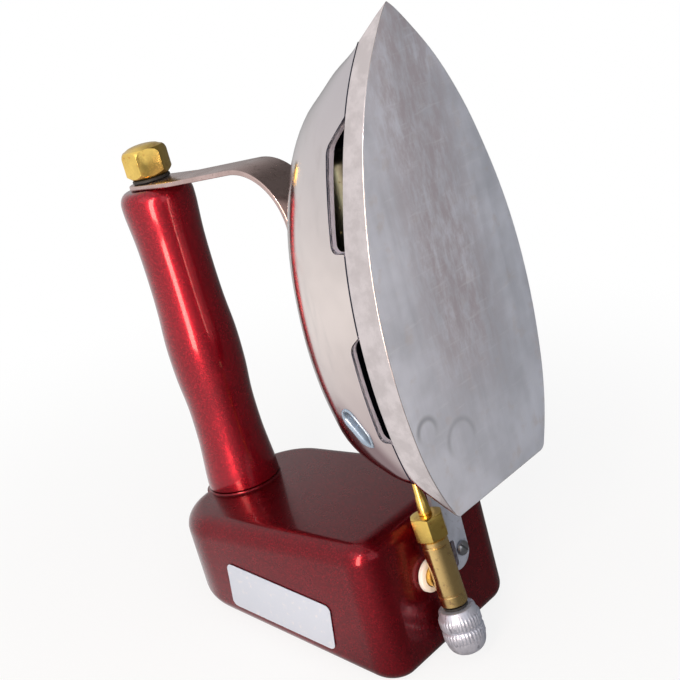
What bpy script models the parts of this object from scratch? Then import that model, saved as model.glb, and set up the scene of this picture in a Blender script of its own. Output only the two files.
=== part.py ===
"""Butane iron, resting on the flat end of its fuel tank with the toe up.

Every piece is modelled in the iron's own frame and then stood up by one empty:
x is zero on the ironing face and grows out of it, z runs from the heel to the toe,
and y runs across the sole. The fuel tank's base is cut on a slant, so the iron
leans back towards its handle when the tank stands on a table.
"""
import math

import bmesh
import bpy
from mathutils import Matrix, Vector

# Stance and clearances
lean_deg = 10.5
fit_gap = 0.0003
bore_clearance = 0.0003
cut_overrun = 0.0015
weld_reach = 0.00003

# Soleplate
sole_length = 0.190
sole_half_width = 0.0451
sole_thickness = 0.012
heel_rake_share = 0.07368
nose_rake_share = 0.05789
sole_edge_chamfer = 0.0008
heel_corner_radius = 0.006
face_corner_radius = 0.002
middle_share = 0.5
sole_outline_shares = (
    (0.0, 0.672), (0.053, 0.776), (0.105, 0.856), (0.158, 0.914), (0.211, 0.952),
    (0.29, 0.988), (0.368, 1.0), (0.447, 0.989), (0.526, 0.952), (0.605, 0.887),
    (0.684, 0.796), (0.763, 0.682), (0.842, 0.524), (0.895, 0.386), (0.947, 0.215),
    (0.984, 0.078), (1.0, 0.0))
sole_depth_shares = ((0.0, 1.0), (0.55, 1.0), (0.74, 0.83), (0.9, 0.72), (1.0, 0.62))

# Hood over the burner
hood_height = 0.0715
hood_wall = 0.0012
hood_ridge_shares = (
    (0.088, 0.542), (0.105, 0.682), (0.126, 0.830), (0.158, 0.917), (0.2, 0.952), (0.263, 0.985),
    (0.35, 1.0), (0.44, 0.993), (0.53, 0.971), (0.62, 0.926), (0.71, 0.845), (0.775, 0.749),
    (0.827, 0.628), (0.865, 0.486), (0.898, 0.361), (0.925, 0.213))
front_notch_start_share = 0.5816
front_notch_length_share = 0.2337
front_notch_depth = 0.0081
front_notch_taper = 0.0085
rear_notch_start_share = 0.1916
rear_notch_length_share = 0.2284
rear_notch_depth = 0.0057
rear_notch_taper = 0.004
notch_corner = 0.003
light_hole_height = 0.0297
light_hole_along_share = 0.2132
light_hole_length = 0.0175
light_hole_width = 0.0092
light_hole_slant_deg = 49.0
mixer_hole_radius = 0.0082

# The valve leans a little in front of the burner, beside the heel bracket
valve_ahead = 0.0015
valve_side = -0.009
valve_tilt_deg = 4.5
burner_height_share = 0.51049
mixer_mouth_radius = 0.0068
mixer_radius = 0.0052
mixer_wall = 0.0008
mixer_start_share = 0.0658
mixer_flare = 0.010
burner_radius = 0.011
burner_start_share = 0.4842
burner_length_share = 0.2632
burner_dome = 0.006
burner_dome_shares = ((0.0, 0.0), (0.5, 0.15), (0.87, 0.5), (1.0, 1.0))
burner_foot_share = 0.6
post_radius = 0.003
post_place_share = 0.55

# Fuel tank
tank_behind_valve = 0.010
tank_rear = -0.177
tank_half_width = 0.043
tank_top = -0.0155
tank_front_depth = 0.0668
tank_front_radius = 0.013
tank_rear_radius = 0.030
tank_top_radius = 0.009
tank_base_radius = 0.007
tank_wall = 0.0016
tank_boss_wall = 0.003
boss_floor = 0.002

# Handle and the rod through it
handle_axis = -0.160
handle_length = 0.1495
handle_foot_radius = 0.0178
handle_seat_height = 0.0008
handle_radius_shares = (
    (0.0, 1.0), (0.012, 1.0), (0.045, 0.985), (0.1, 0.945), (0.165, 0.905), (0.28, 0.897),
    (0.39, 0.962), (0.5, 0.97), (0.61, 0.912), (0.72, 0.892), (0.83, 0.905), (0.93, 0.963),
    (0.952, 0.966), (0.975, 0.935), (0.992, 0.86), (1.0, 0.76))
rod_radius = 0.004
rod_in_tank = 0.014
rod_past_strap = 0.012

# Strap from the handle's end to the hood
strap_thickness = 0.0022
strap_half_width = 0.0105
strap_end = 0.0105
strap_rise = 0.0034
strap_rise_start = 0.022
strap_rise_radius = 0.060
strap_bend_radius = 0.026
strap_touch_drop = 0.0359
rivet_radius = 0.0016
rivet_head_radius = 0.0032
rivet_head_height = 0.0014
rivet_spacing = 0.0100
rivet_from_foot = 0.0052
rivet_from_bend = 0.0001
rivet_head_shares = ((0.0, 1.0), (0.55, 0.86), (0.87, 0.5), (1.0, 0.0))
rivet_tail_share = 0.75

# Nut and washer on the handle's end
washer_radius = 0.0088
washer_thickness = 0.0014
nut_across_flats = 0.0185
nut_height = 0.0150
nut_chamfer = 0.0022
nut_dome = 0.0012
nut_floor = 0.004
nut_dome_shares = ((0.0, 1.0), (0.45, 0.8), (0.8, 0.0))
nut_foot_share = 0.86

# Heel bracket from the tank to the soleplate
bracket_thickness = 0.002
bracket_side = 0.0098
bracket_half_width = 0.008
bracket_low = -0.0522
bracket_bend = -0.004
bracket_foot_start = 0.040
bracket_foot_end = 0.057
bracket_bend_radius = 0.006
bracket_slot_width = 0.0036
bracket_slot_length = 0.013
bracket_slot_offset = -0.0025
tank_screw_offset = 0.003
tank_screw_height = -0.0435
screw_radius = 0.0019
screw_head_radius = 0.0034
screw_head_height = 0.0022
screw_length = 0.006
screw_slot_width = 0.0009
screw_slot_depth = 0.0011
screw_head_shares = ((0.0, 1.0), (0.62, 0.94), (0.9, 0.62), (1.0, 0.2), (1.0, 0.0))

# Lugs that hold the hood down on the soleplate
lug_place_share = 0.5
lug_bend_share = 1.5
lug_half_width = 0.006
lug_thickness = 0.0012
lug_height = 0.012
lug_foot = 0.011
lug_screw_radius = 0.0016
lug_screw_head_radius = 0.0029
lug_screw_head_height = 0.0017
lug_screw_length = 0.006

# Valve below the heel
stub_height = -0.0445
stub_radius = 0.0047
stub_bore = 0.0018
stub_in_tank = 0.008
stub_washer_radius = 0.0075
stub_washer_thickness = 0.0026
valve_radius = 0.0059
valve_bore = 0.0024
valve_top = -0.0251
valve_bottom = -0.0567
valve_edge = 0.0006
holder_across_flats = 0.0132
holder_height = 0.0108
holder_chamfer = 0.0012
nozzle_base_radius = 0.0028
nozzle_neck = 0.0020
nozzle_tip_radius = 0.0011
nozzle_length = 0.019
nozzle_bore = 0.0005
nozzle_shank = 0.006
gland_radius = 0.0054
gland_thickness = 0.0010
stem_radius = 0.0019
stem_length = 0.016
needle_radius = 0.0017
needle_length = 0.009
needle_point = 0.004
needle_play = 0.0012
knob_radius = 0.0092
knob_length = 0.0209
knob_collar_radius = 0.0080
knob_collar = 0.0035
knob_groove = 0.0012
knob_groove_depth = 0.0009
knob_row = 0.0050
knob_nose_share = 0.45
knob_stem_depth = 0.010

# Fuel pick-up inside the tank
dip_radius = 0.0014
dip_bend = 0.008
dip_reach = 0.0112
dip_end_clearance = 0.007

# Filler valve on the side of the tank
filler_along = -0.112
filler_height = -0.044
filler_flange_radius = 0.0065
filler_flange = 0.0026
filler_shank_radius = 0.0042
filler_shank = 0.012
filler_mouth = 0.0016
filler_mouth_length = 0.0055
filler_chamber = 0.0029
filler_end_bore = 0.0010
filler_end_wall = 0.0012
filler_gasket_thickness = 0.0010
filler_gasket_radius = 0.0072
filler_stem_radius = 0.0012
filler_stem_proud = 0.0010
filler_stem_flange_radius = 0.0024
filler_stem_flange = 0.0010
filler_wire_radius = 0.0003
filler_coil_radius = 0.0021
filler_turns = 5

# Bare label plate
label_length = 0.063
label_height = 0.023
label_corner = 0.003
label_thickness = 0.0004
label_along = -0.1064
label_up = -0.0512

# Faceting
fine_steps = 30
middle_steps = 24
small_steps = 16
wire_steps = 8
arc_steps = 6
bend_steps = 8
strap_bend_steps = 10
sole_stations = 26
hood_stations = 20
hood_steps = 14
nose_steps = 5
tank_corner_steps = 5
tank_top_steps = 4
tank_base_steps = 3
sharp_edge_deg = 32.0
tank_sharp_edge_deg = 40.0
level_face = 0.9
upright_face = 0.5
join_reach = 0.000001
hole_start_deg = 7.0

for old_object in list(bpy.data.objects):
    bpy.data.objects.remove(old_object, do_unlink=True)

parts = bpy.data.collections.new("butane_iron")
cutters = bpy.data.collections.new("butane_iron_cutters")
bpy.context.scene.collection.children.link(parts)
bpy.context.scene.collection.children.link(cutters)


def make_finish(name, colour, roughness, metallic):
    """A plain material with one colour, roughness and metallic value."""
    finish = bpy.data.materials.new(name)
    finish.use_nodes = True
    shader = finish.node_tree.nodes["Principled BSDF"]
    shader.inputs["Base Color"].default_value = (*colour, 1.0)
    shader.inputs["Roughness"].default_value = roughness
    shader.inputs["Metallic"].default_value = metallic
    finish.diffuse_color = (*colour, 1.0)
    return finish


red_paint = make_finish("candy_red_paint", (0.22, 0.008, 0.018), 0.22, 0.35)
brushed_alloy = make_finish("brushed_aluminium", (0.42, 0.43, 0.46), 0.38, 1.0)
bright_steel = make_finish("polished_steel", (0.66, 0.61, 0.59), 0.16, 1.0)
plain_steel = make_finish("plated_steel", (0.50, 0.50, 0.52), 0.30, 1.0)
warm_brass = make_finish("brass", (0.72, 0.48, 0.12), 0.24, 1.0)
nickel = make_finish("nickel_plate", (0.60, 0.61, 0.64), 0.28, 1.0)
white_nylon = make_finish("white_nylon", (0.80, 0.79, 0.76), 0.45, 0.0)
dark_rubber = make_finish("dark_rubber", (0.02, 0.02, 0.022), 0.7, 0.0)
label_white = make_finish("label_white", (0.82, 0.80, 0.80), 0.5, 0.0)

stance = bpy.data.objects.new("stance", None)
stance.rotation_euler = (0.0, -math.radians(lean_deg), 0.0)
parts.objects.link(stance)


def place(item, location=(0.0, 0.0, 0.0), rotation=(0.0, 0.0, 0.0)):
    """Seat an object in the iron's own frame."""
    item.parent = stance
    item.location = location
    item.rotation_euler = rotation
    return item


def add_part(name, data, finish, location=(0.0, 0.0, 0.0), rotation=(0.0, 0.0, 0.0)):
    """A named piece of the iron with its finish."""
    item = bpy.data.objects.new(name, data)
    data.materials.append(finish)
    parts.objects.link(item)
    return place(item, location, rotation)


def add_cutter(name, data, location=(0.0, 0.0, 0.0), rotation=(0.0, 0.0, 0.0)):
    """A shape that only cuts others."""
    item = bpy.data.objects.new(name, data)
    item.hide_render = True
    item.display_type = "WIRE"
    cutters.objects.link(item)
    return place(item, location, rotation)


def combine(item, other, operation="DIFFERENCE"):
    """Cut, join or cross a piece with another shape."""
    step = item.modifiers.new(operation.lower() + "_" + other.name, "BOOLEAN")
    step.operation = operation
    step.solver = "EXACT"
    step.object = other


def tidy_cuts(item):
    """Merge the points that cuts leave almost on top of each other."""
    step = item.modifiers.new("tidy_cuts", "WELD")
    step.merge_threshold = weld_reach


def turned_data(name, profile, closed=False, start_angle=0.0):
    """A profile of (radius, height) pairs, down the outer side, ready for turning."""
    points = [(radius * math.cos(start_angle), radius * math.sin(start_angle), height)
              for radius, height in profile]
    edges = [(index, index + 1) for index in range(len(points) - 1)]
    if closed:
        edges.append((len(points) - 1, 0))
    data = bpy.data.meshes.new(name)
    data.from_pydata(points, edges, [])
    return data


def turn(item, steps):
    """Turn a profile about the object's own z axis."""
    screw = item.modifiers.new("turned", "SCREW")
    screw.axis = "Z"
    screw.steps = steps
    screw.render_steps = steps
    screw.use_merge_vertices = True
    screw.merge_threshold = join_reach
    screw.use_smooth_shade = True
    return item


def turned_part(name, profile, finish, location, rotation=(0.0, 0.0, 0.0), steps=small_steps,
                closed=False):
    """A turned piece."""
    item = add_part(name, turned_data(name, profile, closed), finish, location, rotation)
    return turn(item, steps)


def turned_cutter(name, profile, location, rotation=(0.0, 0.0, 0.0), steps=small_steps,
                  start_deg=hole_start_deg):
    """A turned cutter, its facets set off from the facets of what it cuts."""
    data = turned_data(name, profile, start_angle=math.radians(start_deg))
    return turn(add_cutter(name, data, location, rotation), steps)


def rod_profile(radius, low, high):
    """A plain round bar between two heights."""
    return [(0.0, high), (radius, high), (radius, low), (0.0, low)]


def rounded_outline(corners, radii, steps=arc_steps):
    """A closed outline of straight sides with an arc at each corner."""
    outline = []
    count = len(corners)
    for index in range(count):
        here = Vector(corners[index])
        before = (Vector(corners[index - 1]) - here).normalized()
        after = (Vector(corners[(index + 1) % count]) - here).normalized()
        radius = radii[index]
        if radius <= 0.0:
            outline.append(tuple(here))
            continue
        half = before.angle(after) / 2.0
        reach = radius / math.tan(half)
        centre = here + (before + after).normalized() * (radius / math.sin(half))
        start = here + before * reach - centre
        sweep = math.pi - 2.0 * half
        turn_way = 1.0 if start.x * (-before.y) - start.y * (-before.x) > 0.0 else -1.0
        for step in range(steps + 1):
            angle = turn_way * sweep * step / steps
            spoke = Matrix.Rotation(angle, 2) @ start
            outline.append(tuple(centre + spoke))
    return outline


def filleted_path(corners, radii, steps=bend_steps):
    """An open path of straight runs with an arc at each inner corner."""
    path = [Vector(corners[0])]
    for index in range(1, len(corners) - 1):
        here = Vector(corners[index])
        before = (Vector(corners[index - 1]) - here).normalized()
        after = (Vector(corners[index + 1]) - here).normalized()
        half = before.angle(after) / 2.0
        radius = radii[index - 1]
        reach = radius / math.tan(half)
        centre = here + (before + after).normalized() * (radius / math.sin(half))
        start = here + before * reach - centre
        sweep = math.pi - 2.0 * half
        turn_way = 1.0 if start.x * (-before.y) - start.y * (-before.x) > 0.0 else -1.0
        for step in range(steps + 1):
            path.append(centre + Matrix.Rotation(turn_way * sweep * step / steps, 2) @ start)
    path.append(Vector(corners[-1]))
    return path


def strip_outline(path, thickness):
    """The edge-on outline of a bent strip whose middle follows a path."""
    left = []
    right = []
    for index, point in enumerate(path):
        before = path[max(index - 1, 0)]
        after = path[min(index + 1, len(path) - 1)]
        along = (after - before).normalized()
        aside = Vector((-along.y, along.x)) * thickness / 2.0
        left.append(tuple(point + aside))
        right.append(tuple(point - aside))
    return left + right[::-1]


def slab_mesh(name, outline, depth):
    """A flat outline in the local xy plane with an even thickness, as a mesh."""
    curve = bpy.data.curves.new(name, "CURVE")
    curve.dimensions = "2D"
    curve.fill_mode = "BOTH"
    curve.extrude = depth / 2.0
    spline = curve.splines.new("POLY")
    spline.points.add(len(outline) - 1)
    for point, (across, up) in zip(spline.points, outline):
        point.co = (across, up, 0.0, 1.0)
    spline.use_cyclic_u = True
    guide = bpy.data.objects.new(name + "_guide", curve)
    cutters.objects.link(guide)
    bpy.context.view_layer.update()
    graph = bpy.context.evaluated_depsgraph_get()
    mesh = bpy.data.meshes.new_from_object(guide.evaluated_get(graph))
    mesh.name = name
    shape = bmesh.new()
    shape.from_mesh(mesh)
    bmesh.ops.remove_doubles(shape, verts=shape.verts, dist=join_reach)
    bmesh.ops.recalc_face_normals(shape, faces=shape.faces)
    shape.to_mesh(mesh)
    shape.free()
    bpy.data.objects.remove(guide, do_unlink=True)
    return mesh


def stadium(length, width, steps=bend_steps):
    """A slot outline with round ends, its length along the first axis."""
    half = (length - width) / 2.0
    outline = []
    for side in (1.0, -1.0):
        for step in range(steps + 1):
            angle = -math.pi / 2.0 + math.pi * step / steps
            outline.append((side * (half + width / 2.0 * math.cos(angle)),
                            side * width / 2.0 * math.sin(angle)))
    return outline


def hex_mesh(name, across_flats, low, high):
    """A six-sided bar along z, one corner towards x."""
    shape = bmesh.new()
    corner_radius = across_flats / math.sqrt(3.0)
    bmesh.ops.create_cone(shape, cap_ends=True, segments=6, radius1=corner_radius,
                          radius2=corner_radius, depth=high - low,
                          matrix=Matrix.Translation((0.0, 0.0, (high + low) / 2.0)))
    mesh = bpy.data.meshes.new(name)
    shape.to_mesh(mesh)
    shape.free()
    return mesh


def smooth_value(table, share):
    """Read a table of (share, value) pairs along a smooth curve."""
    if share <= table[0][0]:
        return table[0][1]
    if share >= table[-1][0]:
        return table[-1][1]
    index = 0
    while table[index + 1][0] < share:
        index += 1
    (start, low), (end, high) = table[index], table[index + 1]
    span = end - start
    steepness = []
    for place_index in (index, index + 1):
        before = table[max(place_index - 1, 0)]
        after = table[min(place_index + 1, len(table) - 1)]
        steepness.append((after[1] - before[1]) / (after[0] - before[0]) * span)
    part = (share - start) / span
    ease = part * part * (3.0 - 2.0 * part)
    return (low * (1.0 - ease) + high * ease
            + steepness[0] * part * (1.0 - part) ** 2 - steepness[1] * part * part * (1.0 - part))


def sole_width(along):
    """Half the sole's width at a distance from the heel."""
    return sole_half_width * max(smooth_value(sole_outline_shares, along / sole_length), 0.0)


def sole_depth(along):
    """How far the top of the soleplate lies behind the ironing face."""
    return sole_thickness * smooth_value(sole_depth_shares, along / sole_length)


def rounded_width(along, start, radius):
    """Half the width with the corner at the heel end rounded off."""
    reach = along - start
    if reach >= radius:
        return sole_width(along)
    return sole_width(along) - radius + math.sqrt(max(radius ** 2 - (radius - reach) ** 2, 0.0))


def heel_shares(count):
    """Shares from heel to toe, closer together at both ends."""
    return [(1.0 - math.cos(math.pi * index / count)) / 2.0 for index in range(count + 1)]


# Soleplate
heel_rake = sole_length * heel_rake_share
nose_rake = sole_length * nose_rake_share
hood_heel = heel_rake
hood_toe = sole_length - nose_rake


def sole_level(depth_share, inset, corner):
    """Left and right edge points of the soleplate at one share of its depth."""
    start = heel_rake * depth_share + inset
    end = sole_length - nose_rake * depth_share - inset
    left = []
    right = []
    for share in heel_shares(sole_stations):
        along = start + (end - start) * share
        half = max(rounded_width(along, start, corner) - inset, 0.0)
        if share >= 1.0:
            half = 0.0
        level = -sole_depth(along) * depth_share
        left.append((level, -half, along))
        right.append((level, half, along))
    return left, right


def soleplate_mesh():
    """The soleplate as a stack of outlines from the face to its top."""
    edge_share = sole_edge_chamfer / sole_thickness
    levels = [sole_level(0.0, sole_edge_chamfer, face_corner_radius),
              sole_level(edge_share, 0.0, face_corner_radius),
              sole_level(middle_share, 0.0, (face_corner_radius + heel_corner_radius) / 2.0),
              sole_level(1.0, 0.0, heel_corner_radius)]
    shape = bmesh.new()
    rings = []
    for left, right in levels:
        lefts = [shape.verts.new(point) for point in left]
        rights = [shape.verts.new(point) for point in right[:-1]] + [lefts[-1]]
        rings.append((lefts, rights))
    last = len(rings[0][0]) - 1
    for (low_left, low_right), (high_left, high_right) in zip(rings[:-1], rings[1:]):
        for index in range(last):
            shape.faces.new((low_left[index], low_left[index + 1],
                             high_left[index + 1], high_left[index]))
            shape.faces.new((low_right[index + 1], low_right[index],
                             high_right[index], high_right[index + 1]))
        shape.faces.new((low_right[0], low_left[0], high_left[0], high_right[0]))
    for (lefts, rights), order in ((rings[0], 1), (rings[-1], -1)):
        for index in range(last):
            corners = [lefts[index], rights[index], rights[index + 1], lefts[index + 1]]
            if index == last - 1:
                corners = corners[:3]
            shape.faces.new(corners[::order])
    bmesh.ops.recalc_face_normals(shape, faces=shape.faces)
    mesh = bpy.data.meshes.new("soleplate")
    shape.to_mesh(mesh)
    shape.free()
    return mesh


soleplate = add_part("soleplate", soleplate_mesh(), brushed_alloy)
soleplate.data.shade_smooth()
soleplate.data.set_sharp_from_angle(angle=math.radians(sharp_edge_deg))


# Hood
def ridge_height(along):
    """Height of the hood's crown above the ironing face."""
    rim = sole_depth(along)
    table = ((hood_heel / sole_length, rim / hood_height),) + hood_ridge_shares
    table += ((hood_toe / sole_length, sole_depth(hood_toe) / hood_height),)
    return hood_height * smooth_value(table, along / sole_length)


def hood_mesh(name, inset, skirt):
    """A dome over the soleplate's outline, closed across its rim, or a smaller one inside it."""
    start = hood_heel + inset
    end = hood_toe - inset * 2.0
    shape = bmesh.new()
    rings = []
    for share in heel_shares(hood_stations):
        along = start + (end - start) * share
        outside = hood_heel + (hood_toe - hood_heel) * share
        half = max(rounded_width(outside, hood_heel, heel_corner_radius) - inset, inset)
        rim = sole_depth(outside) + fit_gap
        rise = max(ridge_height(outside) - inset - rim, 0.0)
        if share <= 0.0 or share >= 1.0:
            rise = 0.0
        ring = []
        for step in range(hood_steps + 1):
            angle = math.pi * step / hood_steps
            ring.append(shape.verts.new((-rim - rise * math.sin(angle),
                                         -half * math.cos(angle), along)))
        if skirt > 0.0:
            low_left = shape.verts.new((-rim + skirt, -half, along))
            low_right = shape.verts.new((-rim + skirt, half, along))
            ring = [low_left] + ring + [low_right]
        rings.append(ring)
    for one, two in zip(rings[:-1], rings[1:]):
        for step in range(len(one) - 1):
            shape.faces.new((one[step], one[step + 1], two[step + 1], two[step]))
    if skirt > 0.0:
        shape.faces.new(rings[0])
        shape.faces.new(rings[-1])
        for one, two in zip(rings[:-1], rings[1:]):
            shape.faces.new((one[0], two[0], two[-1], one[-1]))
    else:
        last = len(rings) - 1
        shape.faces.new(rings[0] + [rings[1][-1], rings[1][0]])
        for one, two in zip(rings[1:last - 1], rings[2:last]):
            shape.faces.new((one[0], two[0], two[-1], one[-1]))
        shape.faces.new(rings[last] + [rings[last - 1][-1], rings[last - 1][0]])
    bmesh.ops.recalc_face_normals(shape, faces=shape.faces)
    mesh = bpy.data.meshes.new(name)
    shape.to_mesh(mesh)
    shape.free()
    return mesh


def notch_outline(start, length, depth, taper):
    """A vent notch in the hood's rim, seen from the side."""
    rim = -sole_depth(start + length / 2.0)
    beyond = taper * (cut_overrun + fit_gap) / (depth - fit_gap)
    corners = ((rim + cut_overrun, start), (rim - depth, start),
               (rim - depth, start + length - taper), (rim + cut_overrun, start + length + beyond))
    return rounded_outline(corners, (0.0, notch_corner, 2.0 * notch_corner, 0.0))


side_on = (math.pi / 2.0, 0.0, 0.0)
burner_height = hood_height * burner_height_share
valve_height = burner_height - valve_ahead
tank_front = -(valve_height + tank_behind_valve)
hood = add_part("hood", hood_mesh("hood", 0.0, 0.0), bright_steel)
hood.data.shade_smooth()
combine(hood, add_cutter("hood_inside", hood_mesh("hood_inside", hood_wall, cut_overrun)))
hood_span = 2.0 * (sole_half_width + cut_overrun)
for notch_name, notch_sizes in (
        ("front_notch", (sole_length * front_notch_start_share,
                         sole_length * front_notch_length_share, front_notch_depth,
                         front_notch_taper)),
        ("rear_notch", (sole_length * rear_notch_start_share,
                        sole_length * rear_notch_length_share, rear_notch_depth,
                        rear_notch_taper))):
    notch_mesh = slab_mesh(notch_name, notch_outline(*notch_sizes), hood_span)
    combine(hood, add_cutter(notch_name, notch_mesh, rotation=side_on))
light_hole = add_cutter("light_hole",
                        slab_mesh("light_hole", stadium(light_hole_length, light_hole_width),
                                  sole_half_width),
                        location=(-light_hole_height, -sole_half_width / 2.0 - light_hole_width,
                                  sole_length * light_hole_along_share),
                        rotation=(math.pi / 2.0, math.radians(light_hole_slant_deg), 0.0))
combine(hood, light_hole)
burner_axis = (-burner_height, valve_side, 0.0)
combine(hood, turned_cutter("mixer_hole",
                            rod_profile(mixer_hole_radius, 0.0, bracket_foot_start),
                            burner_axis))

# Heel bracket
bracket_rest = tank_front + fit_gap + bracket_thickness / 2.0
foot_rest = -sole_thickness - fit_gap - bracket_thickness / 2.0
bracket_corners = ((bracket_rest, bracket_low - cut_overrun), (bracket_rest, bracket_bend),
                   (foot_rest, bracket_foot_start), (foot_rest, bracket_foot_end))
bracket_path = filleted_path(bracket_corners, (bracket_bend_radius, bracket_bend_radius))
bracket_middle = (0.0, bracket_side, 0.0)


def bracket_slab(name, extra):
    """The bent bracket strip, or a wider copy of it for its opening."""
    return slab_mesh(name, strip_outline(bracket_path, bracket_thickness + 2.0 * extra),
                     2.0 * (bracket_half_width + extra))


combine(hood, add_cutter("bracket_opening", bracket_slab("bracket_opening", bore_clearance * 2.0),
                         location=bracket_middle, rotation=side_on))
heel_bracket = add_part("heel_bracket", bracket_slab("heel_bracket", 0.0), plain_steel,
                        location=bracket_middle, rotation=side_on)
bracket_end_corners = (
    (-bracket_half_width - fit_gap, bracket_foot_end + cut_overrun),
    (-bracket_half_width - fit_gap, bracket_low), (bracket_half_width + fit_gap, bracket_low),
    (bracket_half_width + fit_gap, bracket_foot_end + cut_overrun))
bracket_end_radius = bracket_half_width - fit_gap
facing = (math.pi / 2.0, 0.0, math.pi / 2.0)
bracket_shape = add_cutter("bracket_round_end",
                           slab_mesh("bracket_round_end",
                                     rounded_outline(bracket_end_corners,
                                                     (0.0, bracket_end_radius,
                                                      bracket_end_radius, 0.0)),
                                     -2.0 * tank_front),
                           location=bracket_middle, rotation=facing)
combine(heel_bracket, bracket_shape, "INTERSECT")
slot_place = (bracket_rest, bracket_side + bracket_slot_offset, tank_screw_height)
combine(heel_bracket, add_cutter("bracket_slot",
                                 slab_mesh("bracket_slot",
                                           stadium(bracket_slot_length, bracket_slot_width),
                                           bracket_thickness + 2.0 * cut_overrun),
                                 location=slot_place, rotation=(0.0, math.pi / 2.0, 0.0)))


# Screws
def screw(name, radius, head_radius, head_height, length, location, rotation, finish):
    """A pan-head screw: its head's underside is at zero and its shank runs down."""
    profile = [(head_radius * across, head_height * up) for across, up in screw_head_shares]
    profile += [(radius, 0.0), (radius, -length), (0.0, -length)]
    item = turned_part(name, profile, finish, location, rotation, small_steps)
    slot_data = bpy.data.meshes.new(name + "_slot")
    shape = bmesh.new()
    bmesh.ops.create_cube(shape, size=1.0)
    bmesh.ops.scale(shape, verts=shape.verts,
                    vec=(4.0 * head_radius, screw_slot_width, 2.0 * screw_slot_depth))
    bmesh.ops.translate(shape, verts=shape.verts, vec=(0.0, 0.0, head_height))
    shape.to_mesh(slot_data)
    shape.free()
    combine(item, add_cutter(name + "_slot", slot_data, location, rotation))
    return item


outwards = (0.0, math.pi / 2.0, 0.0)
inwards = (0.0, -math.pi / 2.0, 0.0)
tank_screw_place = (bracket_rest + bracket_thickness / 2.0 + fit_gap,
                    bracket_side + tank_screw_offset, tank_screw_height)
screw("bracket_tank_screw", screw_radius, screw_head_radius, screw_head_height, screw_length,
      tank_screw_place, outwards, plain_steel)
sole_screw_along = (bracket_foot_start + bracket_foot_end) / 2.0 + bracket_thickness
sole_screw_place = (foot_rest - bracket_thickness / 2.0 - fit_gap, bracket_side, sole_screw_along)
screw("bracket_sole_screw", screw_radius, screw_head_radius, screw_head_height, screw_length,
      sole_screw_place, inwards, plain_steel)
hole_radius = screw_radius + bore_clearance
for hole_name, hole_place, hole_rotation in (
        ("tank_screw_hole", tank_screw_place, outwards),
        ("sole_screw_hole", sole_screw_place, inwards)):
    hole = turned_cutter(hole_name, rod_profile(hole_radius, -screw_length - fit_gap,
                                                bracket_thickness), hole_place, hole_rotation)
    combine(heel_bracket, hole)
combine(soleplate, bpy.data.objects["sole_screw_hole"])

# Lugs and their screws
lug_place = sole_length * lug_place_share
lug_depth = sole_depth(lug_place) + fit_gap
for side_name, side in (("left", -1.0), ("right", 1.0)):
    wall_inside = sole_width(lug_place) - hood_wall - 3.0 * fit_gap - lug_thickness / 2.0
    foot_level = -lug_depth - lug_thickness / 2.0
    lug_corners = ((foot_level - lug_height, side * (wall_inside - lug_height ** 2 / hood_height)),
                   (foot_level, side * wall_inside), (foot_level, side * (wall_inside - lug_foot)))
    lug_path = filleted_path(lug_corners, (lug_thickness * lug_bend_share,), arc_steps)
    lug_mesh = slab_mesh("hood_lug_" + side_name, strip_outline(lug_path, lug_thickness),
                         2.0 * lug_half_width)
    lug = add_part("hood_lug_" + side_name, lug_mesh, plain_steel, location=(0.0, 0.0, lug_place))
    lug_screw_place = (foot_level - lug_thickness / 2.0 - fit_gap,
                       side * (wall_inside - lug_foot + lug_screw_head_radius + lug_thickness),
                       lug_place)
    screw("hood_lug_screw_" + side_name, lug_screw_radius, lug_screw_head_radius,
          lug_screw_head_height, lug_screw_length, lug_screw_place, inwards, plain_steel)
    lug_hole = turned_cutter("lug_hole_" + side_name,
                             rod_profile(lug_screw_radius + bore_clearance,
                                         -lug_screw_length - fit_gap, lug_thickness),
                             lug_screw_place, inwards)
    combine(lug, lug_hole)
    combine(soleplate, lug_hole)

# Mixing tube and burner head
mixer_start = sole_length * mixer_start_share
burner_start = sole_length * burner_start_share
burner_length = sole_length * burner_length_share
burner_top = burner_start + burner_length
mixer_profile = [
    (mixer_mouth_radius, mixer_start), (mixer_mouth_radius - mixer_wall, mixer_start),
    (mixer_radius - mixer_wall, mixer_start + mixer_flare),
    (mixer_radius - mixer_wall, burner_start - fit_gap),
    (mixer_radius, burner_start - fit_gap), (mixer_radius, mixer_start + mixer_flare)]
turned_part("mixing_tube", mixer_profile, warm_brass, burner_axis, closed=True)
burner_profile = [(burner_radius * across, burner_top - burner_dome * down)
                  for across, down in burner_dome_shares]
burner_profile += [
    (burner_radius, burner_start + burner_dome), (burner_radius * burner_foot_share, burner_start),
    (mixer_radius - mixer_wall, burner_start),
    (mixer_radius - mixer_wall, burner_start + mixer_wall),
    (burner_radius - mixer_wall, burner_start + burner_dome + mixer_wall),
    (burner_radius - mixer_wall, burner_top - burner_dome), (0.0, burner_top - burner_dome)]
turned_part("burner_head", burner_profile, warm_brass, burner_axis, steps=middle_steps)
post_along = burner_start + burner_length * post_place_share
post_low = sole_depth(post_along) + fit_gap
post_high = burner_height - burner_radius - fit_gap
turned_part("burner_post", rod_profile(post_radius, -post_high, -post_low), plain_steel,
            (0.0, valve_side, post_along), outwards)

# Fuel tank
slope = math.tan(math.radians(lean_deg))


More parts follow.
